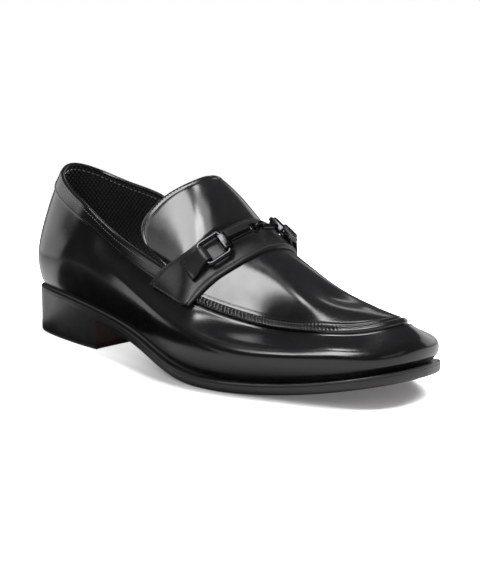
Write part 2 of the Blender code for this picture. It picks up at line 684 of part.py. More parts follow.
def main():
    for obj in list(bpy.data.objects):
        bpy.data.objects.remove(obj, do_unlink=True)
    leather = material("black leather", (0.012, 0.012, 0.013), 0.18)
    lining = material("lining", (0.02, 0.02, 0.02), 0.8)
    edge = material("sole edge", (0.015, 0.014, 0.013), 0.35)
    heel = material("heel leather", (0.02, 0.018, 0.017), 0.3)
    metal = material("polished metal", (0.12, 0.12, 0.125), 0.2, 1.0)
    upper(leather)
    sole_pieces(edge, heel, lining)
    tongue(leather)
    strap(leather)
    bit(metal, leather)


main()
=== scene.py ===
"""Looks of the bit loafer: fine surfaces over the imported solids, materials, studio light and camera.

The last's tables and formulas repeat those of the solids, but for a slightly fuller wall round the toe. They
are in the same frame and in metres: +X to the toe, +Y to the inner side of the foot, +Z up, the heel's flat
bottom round the origin.
"""
import math

import bmesh
import bpy
import numpy as np
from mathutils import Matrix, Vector

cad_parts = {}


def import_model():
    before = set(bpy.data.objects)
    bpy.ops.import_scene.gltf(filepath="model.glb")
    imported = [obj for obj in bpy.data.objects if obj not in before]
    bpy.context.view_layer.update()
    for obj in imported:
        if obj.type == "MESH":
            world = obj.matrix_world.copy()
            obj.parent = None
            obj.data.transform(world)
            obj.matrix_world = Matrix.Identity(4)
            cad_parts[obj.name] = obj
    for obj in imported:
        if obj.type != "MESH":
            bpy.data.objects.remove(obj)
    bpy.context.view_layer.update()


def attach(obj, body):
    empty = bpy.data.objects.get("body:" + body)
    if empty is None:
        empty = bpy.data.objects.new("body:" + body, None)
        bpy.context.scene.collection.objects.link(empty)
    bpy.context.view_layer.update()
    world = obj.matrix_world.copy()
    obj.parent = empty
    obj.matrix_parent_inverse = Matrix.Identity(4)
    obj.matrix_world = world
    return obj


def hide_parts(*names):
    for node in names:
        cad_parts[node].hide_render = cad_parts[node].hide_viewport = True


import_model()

# sizes of the solids
LENGTH = 0.2866
BALL_WIDTH = 0.1051
SOLE_THICK = 0.0065
HEEL_HEIGHT = 0.0210
TOE_SPRING = 0.0130
BACK_HEIGHT = 0.0703
HEEL_LENGTH = 0.0772
WELT = 0.0028
WALL = 0.0020
GAP = 0.0003
SEAT_AIR = 0.0001
APRON_STEP = 0.0011
BAND_STEP = 0.0008
INSOLE_THICK = 0.0030
TONGUE_THICK = 0.0020
TONGUE_AIR = 0.0002         # between the tongue and the wall over it
TONGUE_SINK = 0.0003        # the tongue's free face below the apron's
TONGUE_TUCK = 0.45
STRAP_THICK = 0.0019
STRAP_WIDTH = 0.026
STRAP_LENGTH = 0.13
TAB_THICK = 0.0013
TAB_FOOT_WIDTH = 0.0140
TAB_RING_WIDTH = 0.0098
RING_LENGTH = 0.0165
RING_WIDTH = 0.0165
RING_CORNER = 0.0016
WIRE = 0.0028
SLEEVE_WIDTH = 0.0096
SLEEVE_ROUND = 0.0029
ROD = 0.0036
EYE_RADIUS = 0.0027
EYE_WIRE = 0.0021
RING_LIFT = 0.0036
JOINT_LIFT = 0.0045
HEEL_SET = HEEL_LENGTH / 2
STRAP_BASE = APRON_STEP + GAP + SEAT_AIR
STRAP_TOP = STRAP_BASE + STRAP_THICK

# the last, in eleven rows from the back of the heel (0) to the tip of the toe (10)
# feather edge: along / LENGTH, outer / BALL_WIDTH, inner / BALL_WIDTH
FEATHER = ((0.000, 0.000, 0.000), (0.026, 0.205, 0.205), (0.105, 0.298, 0.298), (0.240, 0.352, 0.300),
           (0.380, 0.378, 0.245), (0.530, 0.485, 0.335), (0.670, 0.522, 0.470), (0.800, 0.416, 0.455),
           (0.900, 0.320, 0.360), (0.975, 0.196, 0.225), (1.000, 0.000, 0.000))
# widest place of the side: lean along / LENGTH, push outer and inner / BALL_WIDTH, rise / BACK_HEIGHT
BULGE = ((-0.0170, 0.000, 0.000, 0.384), (-0.0076, 0.007, 0.024, 0.384), (-0.0036, 0.052, 0.044, 0.380),
         (0.0000, 0.039, 0.058, 0.380), (0.0000, 0.039, 0.087, 0.380), (0.0000, 0.039, 0.068, 0.360),
         (0.0000, 0.027, 0.034, 0.290), (0.0014, 0.020, 0.022, 0.255), (0.0010, 0.016, 0.018, 0.210),
         (-0.0028, 0.012, 0.012, 0.165), (0.0046, 0.000, 0.000, 0.175))
# topline and apron seam: along / LENGTH, outer and inner / BALL_WIDTH, rise / BACK_HEIGHT
SHOULDER = ((0.036, 0.000, 0.000, 1.032), (0.059, 0.128, 0.153, 0.970), (0.133, 0.230, 0.232, 0.879),
            (0.226, 0.304, 0.277, 0.801), (0.331, 0.301, 0.223, 0.650), (0.517, 0.383, 0.235, 0.612),
            (0.597, 0.415, 0.297, 0.540), (0.724, 0.288, 0.245, 0.421), (0.832, 0.250, 0.215, 0.390),
            (0.908, 0.143, 0.139, 0.354), (0.955, 0.000, 0.000, 0.362))
# crest of the instep and vamp: along / LENGTH, side / BALL_WIDTH, rise / BACK_HEIGHT
RIDGE = ((0.120, 0.000, 1.300), (0.140, 0.000, 1.340), (0.180, -0.010, 1.370), (0.250, -0.030, 1.387),
         (0.344, -0.050, 1.418), (0.503, -0.065, 1.329), (0.600, -0.045, 1.018), (0.709, -0.046, 0.795),
         (0.784, -0.027, 0.582), (0.845, -0.003, 0.490), (0.880, 0.000, 0.463))
# roundness between shoulder and crest: push / distance between them
CROWN = (0.0, 0.10, 0.13, 0.15, 0.15, 0.15, 0.15, 0.15, 0.14, 0.13, 0.0)
# line of the sole's bottom: along / LENGTH, share of HEEL_HEIGHT, share of TOE_SPRING
SOLE_LINE = ((-0.06, 1.10, 0.00), (0.00, 1.06, 0.00), (0.12, 1.00, 0.00), (0.24, 0.86, 0.00),
             (0.38, 0.50, 0.00), (0.53, 0.12, 0.00), (0.63, 0.00, 0.00), (0.69, 0.00, 0.00),
             (0.78, 0.00, 0.10), (0.90, 0.00, 0.50), (1.00, 0.00, 1.00), (1.06, 0.00, 1.30))
# welt: along / LENGTH, share of WELT
WELT_LINE = ((0.00, 0.60), (0.25, 0.50), (0.45, 0.60), (0.60, 1.00), (1.00, 1.20))

# Places on the last are (row, level): 0 feather edge, 1 bulge, 2 shoulder, 3 ridge, 6 inner feather edge.
LEVELS = (0, 1, 2, 2.5, 3, 3.5, 4, 5, 6)
THROAT = ((2.00, 5.25), (2.25, 5.50), (2.50, 5.84), (2.75, 6.02), (3.00, 6.06))
STRAP = ((1.58, 4.58, 5.66), (1.77, 4.62, 5.80), (1.95, 4.70, 5.96), (2.10, 4.86, 6.08), (2.28, 5.24, 6.22),
         (2.45, 5.55, 6.36), (2.60, 5.73, 6.46), (2.80, 5.83, 6.56), (3.00, 5.84, 6.61))
STRAP_FOOT = (1.60, 1.80)
TONGUE_EDGE = ((5.20, 1.80), (4.94, 1.93), (4.64, 2.04), (4.40, 2.12), (4.29, 2.25), (4.38, 2.41),
               (4.55, 2.57), (4.74, 2.72), (4.87, 2.87), (4.91, 3.00))
OUTER_TAB_FOOT = (5.66, 2.15)
OUTER_RING = (5.95, 2.48)
BIT_JOINT = (6.19, 2.91)
INNER_RING = (6.11, 3.32)
INNER_TAB_FOOT = (5.92, 3.68)

# dressing
RIB_PITCH = 0.0021          # puckers along the apron seam
EDGE_MM = 3.8               # height of the apron's puckered edge, in millimetres
SEAM_START = 5.55           # row where the seam's strip starts, under the strap
LIP_START = 8.3             # row where its puckers give way to a smooth lip
BAND_MM = 9.3               # lower edge of the collar band under the topline, in millimetres
STITCH = 0.0015             # length of a stitch
STITCH_GAP = 0.0006
THREAD = 0.00040
EDGE_STITCH = 0.0019        # stitch row from an edge
STITCH_DENT = 0.0007        # half width of the dent that a stitch row draws
STRAP_DENT = 0.00022        # its depth on the strap
TONGUE_DENT = 0.00025       # and on the tongue
STRAP_EDGE = 0.0010         # radius of the strap's edge
STRAP_DOME = 0.0002
FOOT_ROW = 0.115            # second stitch row on the strap's foot, as a share of the strap's length
TONGUE_EDGE_ROUND = (0.0011, 0.0008)        # radius of the tongue's edge in front and behind
TAB_ROWS = (0.11, 0.89)     # stitch rows along a tab, as shares of its width
TAB_FOOT_ROWS = (-4, -8)    # and across its foot, as rows of its mesh
TOP_STITCH = 0.0020         # stitch row on the collar band, under the topline
BAND_STITCH = 0.0076        # stitch row above the collar band's lower edge
LINING_ROW = 0.0024         # stitch row on the lining, under the topline
LINING_STITCH = (0.0022, 0.0009, 0.0005)    # its stitches: length, gap, thread
TUCK_HEIGHT = 0.0042        # the wall turns in under this height, down to the sole
TUCK_ROWS = (0, 2, 4, 6, 8, 10)
TUCK = (0.0009, 0.0011, 0.0016, 0.0013, 0.0010, 0.0008)
COUNTER_EDGE = 0.0006       # ridge over the counter's front edge
QUARTER_HOLLOW = 0.0008
QUARTER_WAVE = 0.00012
VAMP_FLEX = 0.00006
SEAM_MM = (-3.2, -2.6, -2.0, -1.5, -1.2, -1.0, -0.8, -0.6, -0.4, -0.2, 0.0, 0.2, 0.4)
SEAM_MM = tuple(mm - EDGE_MM for mm in SEAM_MM)
SEAM_MM += (-3.1, -2.7, -2.2, -1.7, -1.2, -0.8, -0.4, -0.1, 0.15, 0.4, 0.7, 1.0, 1.5, 2.2, 3.0)
SKIN_LOW_MM = (-11, -10.2, -9.8, -9.5, -9.25, -9.0, -8.75, -8.4, -7.8, -7.2, -6.6, -6.1, -5.6, -5.2, -4.9,
               -4.6, -4.3, -4.0, -3.7, -3.4, -3.1, -2.7, -2.2, -1.7, -1.2, -0.8, -0.4, 0.0)
SKIN_HIGH_MM = (0.4, 0.8, 1.2, 1.7, 2.2, 2.7, 3.2, 4.0)
TONGUE_REACH = 0.045        # length of the tongue along its middle, for its edge's rounding
TONGUE_SIDE = 150           # points along each half of the tongue's edge
EDGE_FINE = (0, 0.00012, 0.0003, 0.0006, 0.001, 0.0014, 0.0016, 0.0019, 0.0022, 0.0025)
TAB_FINE = (0, 0.0001, 0.00025, 0.0005, 0.0008, 0.0011, 0.0014, 0.0018)
TAB_LEG = 24                # steps along each leg of a tab
BREAST_HOLLOW = 0.0012
SOLE_EDGE_BEND = 0.004      # length over which the sole's bevel fades at the heel's breast

# sections: (inset, share of the thickness) round the sole's edge, (height, inset) up the heel's side
SOLE_EDGE = ((-0.004, 1.0), (-0.0012, 1.0), (-0.0006, 0.985), (-0.0002, 0.95), (0.0, 0.90), (0.0, 0.80),
             (-0.0001, 0.765), (-0.0002, 0.75), (-0.0002, 0.735), (0.0, 0.72), (0.0, 0.68), (0.0001, 0.5),
             (0.0, 0.24), (-0.0002, 0.13), (-0.0006, 0.05), (-0.0011, 0.012), (-0.0018, 0.0), (-0.005, 0.0))
HEEL_SIDE = ((0.0, -0.0008), (0.0003, -0.0003), (0.0008, 0.0), (0.004, 0.0001), (0.009, 0.0), (0.015, 0.0))

# studio: azimuth and elevation in degrees, distance, width and height in metres, radiance
SOFT_BOXES = (("key", -85, 47, 1.2, 0.42, 0.80, 12.0), ("top", -140, 76, 1.2, 0.20, 0.20, 14.0),
              ("back_fill", -171, 4, 1.4, 1.20, 0.50, 0.95), ("inner_spot", 126, 33, 1.2, 0.30, 0.18, 1.5),
              ("inner_fill", 90, 12, 1.4, 1.30, 0.60, 1.0), ("front_fill", -12, 14, 1.3, 0.90, 0.30, 0.6))
TONGUE_BOXES = (("tongue_glow", -122, 32, 1.2, 0.85, 1.15, 9.0),
                ("tongue_top", -70, 68, 1.2, 0.60, 0.50, 4.0))
SHADOW_LIGHT = ("shadow_light", 78, 62, 1.5, 1.30, 1.30, 18.0)
CARD = (-130, 0.25, 0.36, 0.20)     # black card: azimuth, distance, length and width

# camera: photo frame and what it looks at
FRAME_WIDTH, FRAME_HEIGHT = 480, 587
CAMERA_AZIMUTH = 45.59
CAMERA_ELEVATION = 10.90
CAMERA_DISTANCE = 0.9272
FOCAL_PIXELS = 1627
AIM = (0.10879, 0.0, 0.04093)
FRAME_SHIFT = (13.6, -4.7)


# curves and the last

def cubic(knots, values, at, period=None):
    """Values at `at` of the smooth cubic curve through (knots, values); closed where a period is given."""
    k = np.asarray(knots, float)
    y = np.asarray(values, float)
    flat = y.reshape(len(y), -1)
    if period is not None:
        k = np.append(k, k[0] + period)
        flat = np.vstack([flat, flat[:1]])
    h = np.diff(k)
    m = len(k)
    a = np.zeros((m, m))
    b = np.zeros((m, flat.shape[1]))
    slope = np.diff(flat, axis=0) / h[:, None]
    for i in range(1, m - 1):
        a[i, i - 1:i + 2] = h[i - 1], 2 * (h[i - 1] + h[i]), h[i]
        b[i] = 6 * (slope[i] - slope[i - 1])
    if period is None:
        a[0, 0] = a[-1, -1] = 1
    else:
        a[0, 0], a[0, 1], a[0, -2] = 2 * (h[-1] + h[0]), h[0], h[-1]
        b[0] = 6 * (slope[0] - slope[-1])
        a[-1, 0], a[-1, -1] = 1, -1
    bend = np.linalg.solve(a, b)
    x = np.asarray(at, float)
    if period is not None:
        x = k[0] + np.mod(x - k[0], period)
    i = np.clip(np.searchsorted(k, x, side="right") - 1, 0, m - 2)
    t = (x - k[i])[:, None]
    hh = h[i][:, None]
    r = hh - t
    low = bend[i] * r ** 3 + bend[i + 1] * t ** 3
    near = (flat[i] / hh - bend[i] * hh / 6) * r
    far = (flat[i + 1] / hh - bend[i + 1] * hh / 6) * t
    return (low / (6 * hh) + near + far).reshape((len(x),) + y.shape[1:])


def smooth(t):
    """0 below 0, 1 above 1, and an eased step between."""
    t = np.clip(t, 0, 1)
    return t * t * (3 - 2 * t)


def hump(t):
    """1 at the middle of a span, easing to 0 at -1 and 1."""
    return smooth(1 - np.abs(t))


def table(rows, at, column=1):
    """A table's column at places of its first one, in straight lines between its rows."""
    rows = np.asarray(rows)
    return np.interp(at, rows[:, 0], rows[:, column])


def sole_bottom(x):
    """Height of the outsole's bottom at x; flat on the floor under the ball."""
    line = np.asarray(SOLE_LINE)
    along = (np.atleast_1d(x) + HEEL_SET) / LENGTH
    share = cubic(line[:, 0], line[:, 1:], along)
    return np.maximum(share[:, 0] * HEEL_HEIGHT + share[:, 1] * TOE_SPRING, 0)


def last_net():
    """Points of the last: eleven outer rows and nine inner ones, five levels each."""
    rows = list(range(11)) + list(range(9, 0, -1))
    sides = [-1] * 11 + [1] * 9
    net = np.zeros((len(rows), 5, 3))
    for k, (r, side) in enumerate(zip(rows, sides)):
        hand = 1 if side < 0 else 2
        x = FEATHER[r][0] * LENGTH - HEEL_SET
        y = side * FEATHER[r][hand] * BALL_WIDTH
        top = sole_bottom(x)[0] + SOLE_THICK
        net[k, 0] = x, y, top
        push = side * BULGE[r][hand] * BALL_WIDTH
        net[k, 1] = x + BULGE[r][0] * LENGTH, y + push, top + BULGE[r][3] * BACK_HEIGHT
        x = SHOULDER[r][0] * LENGTH - HEEL_SET
        top = sole_bottom(x)[0] + SOLE_THICK
        net[k, 2] = x, side * SHOULDER[r][hand] * BALL_WIDTH, top + SHOULDER[r][3] * BACK_HEIGHT
        x = RIDGE[r][0] * LENGTH - HEEL_SET
        top = sole_bottom(x)[0] + SOLE_THICK
        net[k, 4] = x, RIDGE[r][1] * BALL_WIDTH, top + RIDGE[r][2] * BACK_HEIGHT
        rise = net[k, 4] - net[k, 2]
        net[k, 3] = (net[k, 4] + net[k, 2]) / 2 + CROWN[r] * np.array((0, side * rise[2], -side * rise[1]))
    return net


NET = last_net()
CHORD = np.sqrt(np.linalg.norm(np.roll(NET[:, 0], -1, 0) - NET[:, 0], axis=1))
CHORD = (CHORD + CHORD[::-1]) / 2
KNOTS = np.append(0, np.cumsum(CHORD)[:-1])
ROUND = CHORD.sum()


def station(row):
    """Parameter round the last of a row on the outer side; ROUND minus it is the same row inside."""
    return np.interp(row, np.arange(11), KNOTS[:11])


def row_at(u):
    """Row of a station on either side."""
    return np.interp(np.minimum(u, ROUND - u), KNOTS[:11], np.arange(11))


def last_point(u, v):
    """Points of the last at matching arrays of station and level."""
    u, v = np.broadcast_arrays(np.asarray(u, float), np.asarray(v, float))
    near = cubic(KNOTS, NET, u.ravel(), ROUND)
    far = cubic(KNOTS, NET, ROUND - u.ravel(), ROUND)
    ring = np.concatenate([near, far[:, 3::-1]], axis=1)
    basis = cubic(LEVELS, np.eye(len(LEVELS)), v.ravel())
    return np.einsum("nk,nkc->nc", basis, ring).reshape(u.shape + (3,))


def unit(vectors):
    """The vectors at length 1."""
    return vectors / np.linalg.norm(vectors, axis=-1, keepdims=True)


def last_normal(u, v):
    """Outward unit normals of the last at matching arrays of station and level."""
    u, v = np.broadcast_arrays(np.asarray(u, float), np.asarray(v, float))
    du, dv = 1e-4, 1e-3
    along = last_point(u + du, v) - last_point(u - du, v)
    up = last_point(u, v + dv) - last_point(u, v - dv)
    return unit(np.cross(along, up))


def on_last(row, level, height):
    """Points at (row, level) raised by height along the normal; a level above 3 lies on the inner side."""
    row, level, height = np.broadcast_arrays(*(np.asarray(c, float) for c in (row, level, height)))
    u = station(row)
    return last_point(u, level) + last_normal(u, level) * height[..., None]


# meshes

def add_mesh(name, verts, faces, material, replaced=(), auto=35):
    """A piece of the scene from points and faces, smooth but for edges sharper than auto degrees."""
    verts = np.asarray(verts, float).reshape(-1, 3)
    used = np.zeros(len(verts), bool)
    used[[i for face in faces for i in face]] = True
    number = (np.cumsum(used) - 1).tolist()
    mesh = bpy.data.meshes.new(name)
    mesh.from_pydata(verts[used].tolist(), [], [tuple(number[i] for i in face) for face in faces])
    mesh.validate()
    mesh.shade_smooth()
    mesh.set_sharp_from_angle(angle=math.radians(auto))
    mesh.materials.append(material)
    obj = bpy.data.objects.new(name, mesh)
    bpy.context.collection.objects.link(obj)
    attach(obj, "root")
    if replaced:
        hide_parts(*replaced)
    return obj


def grid_faces(rows, columns, wrap_rows=False, wrap_columns=False):
    """Four-sided faces of a grid of points, closed round where it wraps."""
    faces = []
    for i in range(rows if wrap_rows else rows - 1):
        for j in range(columns if wrap_columns else columns - 1):
            k, m = (i + 1) % rows, (j + 1) % columns
            faces.append((i * columns + j, k * columns + j, k * columns + m, i * columns + m))
    return faces


def shell(outer, inner):
    """Points and faces of the closed skin between two matching grids."""
    rows, columns = outer.shape[:2]
    count = rows * columns
    faces = grid_faces(rows, columns)
    faces += [tuple(count + i for i in reversed(f)) for f in faces]
    rim = [j for j in range(columns)] + [i * columns + columns - 1 for i in range(1, rows)]
    rim += [(rows - 1) * columns + j for j in range(columns - 2, -1, -1)]
    rim += [i * columns for i in range(rows - 2, 0, -1)]
    for a, b in zip(rim, rim[1:] + rim[:1]):
        faces.append((a, b, count + b, count + a))
    return np.concatenate([outer.reshape(-1, 3), inner.reshape(-1, 3)]), faces


def rounded(distance, radius):
    """Height share of a rounded edge: 0 at the edge, 1 from radius inwards."""
    t = np.clip(distance / radius, 0, 1)
    return np.sqrt(np.clip(1 - (1 - t) ** 2, 0, 1))


def edge_steps(count, half, fine=EDGE_FINE):
    """Distances from an edge to the middle of a piece, fine near the edge."""
    return np.append(fine, np.linspace(fine[-1], half, count + 1)[1:])


def both_edges(count, width, fine=EDGE_FINE):
    """Shares 0 to 1 across a width, fine near both edges."""
    half = edge_steps(count, width / 2, fine)
    return np.append(half, (width - half[:-1])[::-1]) / width


def arc_lengths(points):
    """Distance run along a line at each of its points."""
    return np.append(0, np.cumsum(np.linalg.norm(np.diff(points, axis=0), axis=1)))


def resampled(points, count):
    """Points spaced evenly along a dense line."""
    s = arc_lengths(points)
    at = np.linspace(0, s[-1], count)
    return np.stack([np.interp(at, s, points[:, c]) for c in range(points.shape[1])], axis=1)


def stitches(name, line, normals, material, length=STITCH, gap=STITCH_GAP, thread=THREAD):
    """A row of raised stitches along a dense line with its surface normals."""
    s = arc_lengths(line)
    count = int(s[-1] / (length + gap))
    start = (np.arange(count) + 0.5) * s[-1] / count - length / 2
    steps, sides = 7, 6
    share = np.linspace(0, 1, steps)
    at = start[:, None] + length * share
    centre = np.stack([np.interp(at, s, line[:, c]) for c in range(3)], axis=2)
    up = unit(np.stack([np.interp(at, s, normals[:, c]) for c in range(3)], axis=2))
    along = unit(np.gradient(centre, axis=1))
    side = unit(np.cross(up, along))
    size = thread / 2 * np.sqrt(np.clip(1 - (2 * share - 1) ** 4, 0.02, 1))
    centre = centre + up * (thread * (0.55 * np.sin(math.pi * share) - 0.2))[None, :, None]
    turn = 2 * math.pi * np.arange(sides) / sides
    round_off = np.cos(turn)[:, None] * side[:, :, None] + np.sin(turn)[:, None] * up[:, :, None]
    points = centre[:, :, None] + size[None, :, None, None] * round_off
    one = [tuple(reversed(face)) for face in grid_faces(steps, sides, wrap_columns=True)]
    one += [tuple(range(sides - 1, -1, -1)), tuple((steps - 1) * sides + j for j in range(sides))]
    faces = [tuple(k * steps * sides + i for i in face) for k in range(count) for face in one]
    add_mesh(name, points, faces, material, auto=80)


# upper

def per_level(u, v):
    """Metres per level at a place."""
    return np.linalg.norm(last_point(u, v + 0.01) - last_point(u, v - 0.01), axis=-1) / 0.02


def around(back_count, front_count):
    """Stations round the last with the throat's corners on one each side; count of back ones too."""
    corner = station(THROAT[0][1])
    back = np.linspace(0, corner, back_count + 1)
    front = np.linspace(corner, station(10), front_count + 1)
    side = np.append(back, front[1:])
    return np.append(side, (ROUND - side)[-2:0:-1])


def vamp_station(u, level):
    """Station of a column that starts at u on the shoulder, as it goes up over the vamp."""
    near = np.minimum(u, ROUND - u)
    corner, toe = station(THROAT[0][1]), station(10)
    edge = station(table(THROAT, level))
    shifted = edge + (near - corner) * (toe - edge) / (toe - corner)
    return np.where(u <= toe, shifted, ROUND - shifted)


def lip_height(mm, row, bead):
    """Height beside the apron's edge, mm past the shoulder line; bead is 1 on a pucker, 0 between two."""
    front = smooth((row - LIP_START) / 0.4)
    gap = (1 - bead) * (1 - front)
    step = APRON_STEP * smooth((mm + EDGE_MM + 0.1) / 0.6)
    roll = 0.00045 * hump((mm + 1.6) / 2.0) - 0.00075 * gap * hump((mm + 1.7) / 2.1)
    hole = -0.0007 * gap * hump((mm - 0.35) / 0.7) - 0.0004 * front * hump((mm - 0.3) / 0.7)
    rim = 0.0002 * hump((mm - 1.5) / 1.1)
    groove = -0.0011 * hump((mm + EDGE_MM + 0.7) / 0.7)
    foot = 0.0003 * hump((mm + EDGE_MM + 2.1) / 1.2)
    return step + roll + hole + rim + groove + foot


def seam_height(mm, u):
    """Height of the skin beside the seam; it passes just under the seam's own strip."""
    row = row_at(u)
    under_strip = smooth((mm + EDGE_MM + 3.0) / 0.4) * smooth((2.9 - mm) / 0.4)
    under_strip = under_strip * smooth((row - SEAM_START + 0.05) / 0.06)
    return lip_height(mm, row, 0.0) - 0.00022 * under_strip


def seam_strip(leather):
    """The apron seam as its own fine strip: puckers from the strap on, then a smooth lip round the toe."""
    side = np.linspace(station(SEAM_START), station(10), 680)
    u = np.append(side, (ROUND - side)[-2::-1])
    run = arc_lengths(last_point(u, 2.0))
    bead = 1 - np.abs(2 * (run / RIB_PITCH % 1) - 1) ** 2.4
    scale = per_level(u, np.full(len(u), 2.0)) * 1000
    points = []
    for mm in SEAM_MM:
        level = 2 + mm / scale
        ends = smooth((mm - SEAM_MM[0]) / 0.5) * smooth((SEAM_MM[-1] - mm) / 0.5)
        height = lip_height(mm, row_at(u), bead) + creases(u, level) - 0.00012 * (1 - ends)
        points.append(last_point(u, level) + last_normal(u, level) * height[:, None])
    faces = [tuple(reversed(face)) for face in grid_faces(len(SEAM_MM), len(u))]
    add_mesh("apron_seam", points, faces, leather, auto=80)


def creases(u, v):
    """Soft unevenness of worked leather, and the wall's turn inwards above the sole."""
    row = row_at(u)
    level = np.minimum(v, 6 - v)
    outer = np.where(u < ROUND / 2, 1.0, 0.8)
    counter = COUNTER_EDGE * np.exp(-((row - 2.5 - 0.35 * (level - 1)) / 0.22) ** 2) * smooth(level / 0.4)
    hollow = -QUARTER_HOLLOW * np.exp(-((row - 3.5) / 0.5) ** 2 - ((level - 1.0) / 0.5) ** 2)
    wave = QUARTER_WAVE * np.sin(7.5 * row + 2.2 * level) * np.exp(-((row - 3.2) / 1.5) ** 2)
    over_flex = np.exp(-((row - 7.0) / 0.7) ** 2) * hump((level - 1.5) / 1.2)
    flex = VAMP_FLEX * np.sin(9.0 * (row + 0.25 * level)) * over_flex
    fade = smooth((2.6 - level) / 1.2) * smooth(level / 0.2)
    rise = level * per_level(u, np.full(np.shape(u), 0.3))
    tuck = np.interp(row, TUCK_ROWS, TUCK) * hump(rise / TUCK_HEIGHT)
    return outer * (counter + hollow + wave + flex) * fade - tuck


def crest_index(index, count, total):
    """Points of the crest belong to both sides: the inner ones use the outer ones' numbers."""
    row, i = divmod(index, count)
    if row == total - 1 and i > count // 2:
        i = count - i
    return row * count + i


def skin_faces(count, corner, total, top_row, inwards=False):
    """Faces of a skin that closes round the shoe up to top_row, and above it goes on over the vamp alone."""
    faces = []
    for j in range(total - 1):
        for i in range(corner, count - corner) if j >= top_row else range(count):
            k = (i + 1) % count
            quad = (j * count + i, j * count + k, (j + 1) * count + k, (j + 1) * count + i)
            quad = tuple(crest_index(q, count, total) for q in quad)
            faces.append(quad[::-1] if inwards else quad)
    return faces


def skin_normals(stations, levels):
    """Normals of a skin's grid; the crest's foremost point takes the one just behind it."""
    total, count = stations.shape
    middle = (np.arange(total)[:, None] == total - 1) & (np.arange(count) == count // 2)
    return last_normal(np.where(middle, stations - 0.02, stations), levels)


def upper_rows(u):
    """Stations, levels and heights of the upper's rows from the sole to the crest, and the topline's row."""
    count = len(u)
    scale = per_level(u, np.full(count, 2.0)) * 1000
    behind = 1 - smooth((row_at(u) - THROAT[0][1] + 0.25) / 0.2)
    start = 2 + SKIN_LOW_MM[0] / scale
    levels = [start * share for share in np.linspace(0, 1, 22)[:-1]]
    heights = [np.zeros(count)] * len(levels)
    for mm in SKIN_LOW_MM:
        levels.append(2 + mm / scale)
        band = BAND_STEP * smooth((mm + BAND_MM) / 0.6) * behind
        heights.append(band + seam_height(mm, u) * (1 - behind))
    top_row = len(levels) - 1
    above = [2 + mm / scale for mm in SKIN_HIGH_MM]
    heights += [seam_height(mm, u) for mm in SKIN_HIGH_MM]
    edge = above[-1]
    shares = np.linspace(0, 1, 30)[1:]
    above += [edge * (1 - share) + 3 * share for share in shares]
    heights += [np.full(count, APRON_STEP)] * len(shares)
    stations = [u] * len(levels) + [vamp_station(u, level) for level in above]
    return np.array(stations), np.array(levels + above), np.array(heights), top_row


def turned_edge(edge, out, up):
    """Lines of points that turn the topline over into the shoe."""
    radius = (WALL + BAND_STEP) / 2
    turns = np.linspace(0, math.pi, 9)[1:]
    return [edge + out * radius * (math.cos(turn) - 1) + up * radius * math.sin(turn) for turn in turns]


def upper_skin(leather):
    """Quarters and vamp: one fine sheet with the apron seam, the collar band and the turned topline."""
    corner = 110
    u = around(corner, 270)
    count = len(u)
    stations, levels, heights, top_row = upper_rows(u)
    normal = skin_normals(stations, levels)
    height = heights + creases(stations, levels)
    points = last_point(stations, levels) + normal * height[..., None]
    faces = skin_faces(count, corner, len(levels), top_row)
    collar = np.append(np.arange(count - corner, count), np.arange(0, corner + 1))
    up = unit(last_point(u[collar], 2.0) - last_point(u[collar], 1.97))
    lines = turned_edge(points[top_row, collar], normal[top_row, collar], up)
    before = top_row * count + collar
    for n in range(len(lines)):
        here = count * len(levels) + n * len(collar) + np.arange(len(collar))
        faces += [(a, b, d, c) for a, b, c, d in zip(before, before[1:], here, here[1:])]
        before = here
    verts = np.concatenate([points.reshape(-1, 3)] + lines)
    return add_mesh("upper_leather", verts, faces, leather, ("upper",), auto=60)


def lining_skin(lining):
    """The inside of the upper, from the turned topline to the insole, and under the vamp."""
    corner = 60
    u = around(corner, 80)
    low, high = np.linspace(0.0, 2.0, 24), np.linspace(2, 3, 17)[1:]
    levels = np.repeat(np.append(low, high)[:, None], len(u), axis=1)
    stations = np.array([u] * len(low) + [vamp_station(u, level) for level in high])
    points = last_point(stations, levels) - skin_normals(stations, levels) * WALL
    faces = skin_faces(len(u), corner, len(levels), len(low) - 1, inwards=True)
    add_mesh("lining", points, faces, lining, auto=70)


def topline(under):
    """Stations and levels of a line that runs under the topline, from strap to strap round the heel."""
    corner = station(THROAT[0][1] - 0.45)
    u = np.linspace(-corner, corner, 700) % ROUND
    return u, 2 - under / per_level(u, np.full(len(u), 2.0))


def collar_stitches(black, grey, light):
    """Two stitch rows on the collar band, and one on the lining."""
    for name, under, thread in (("top", TOP_STITCH, grey), ("band", BAND_STITCH, black)):
        u, level = topline(under)
        normal = last_normal(u, level)
        path = last_point(u, level) + normal * (BAND_STEP + creases(u, level))[:, None]
        stitches("collar_stitches_" + name, path, normal, thread)
    u, level = topline(LINING_ROW)
    normal = last_normal(u, level)
    path = last_point(u, level) - normal * (WALL + 0.0001)
    stitches("lining_stitches", path, -normal, light, *LINING_STITCH)


# tongue

def along_list(points, count):
    """Points spaced evenly along a smooth curve through a list."""
    p = np.asarray(points, float)
    steps = np.append(0, np.cumsum(np.linalg.norm(np.diff(p, axis=0) * (0.6, 1), axis=1)))
    return cubic(steps, p, np.linspace(0, steps[-1], count))


def tongue_height(row, level):
    """Height of the tongue's face: inside the quarters and the vamp, then up beside the strap."""
    near = np.minimum(level, 6 - level)
    free = smooth((table(THROAT, near) - 0.06 - row) / 0.24) * smooth((near - 2.03) / 0.12)
    hidden = -WALL - GAP - TONGUE_AIR
    return hidden + (APRON_STEP - TONGUE_SINK - hidden) * free


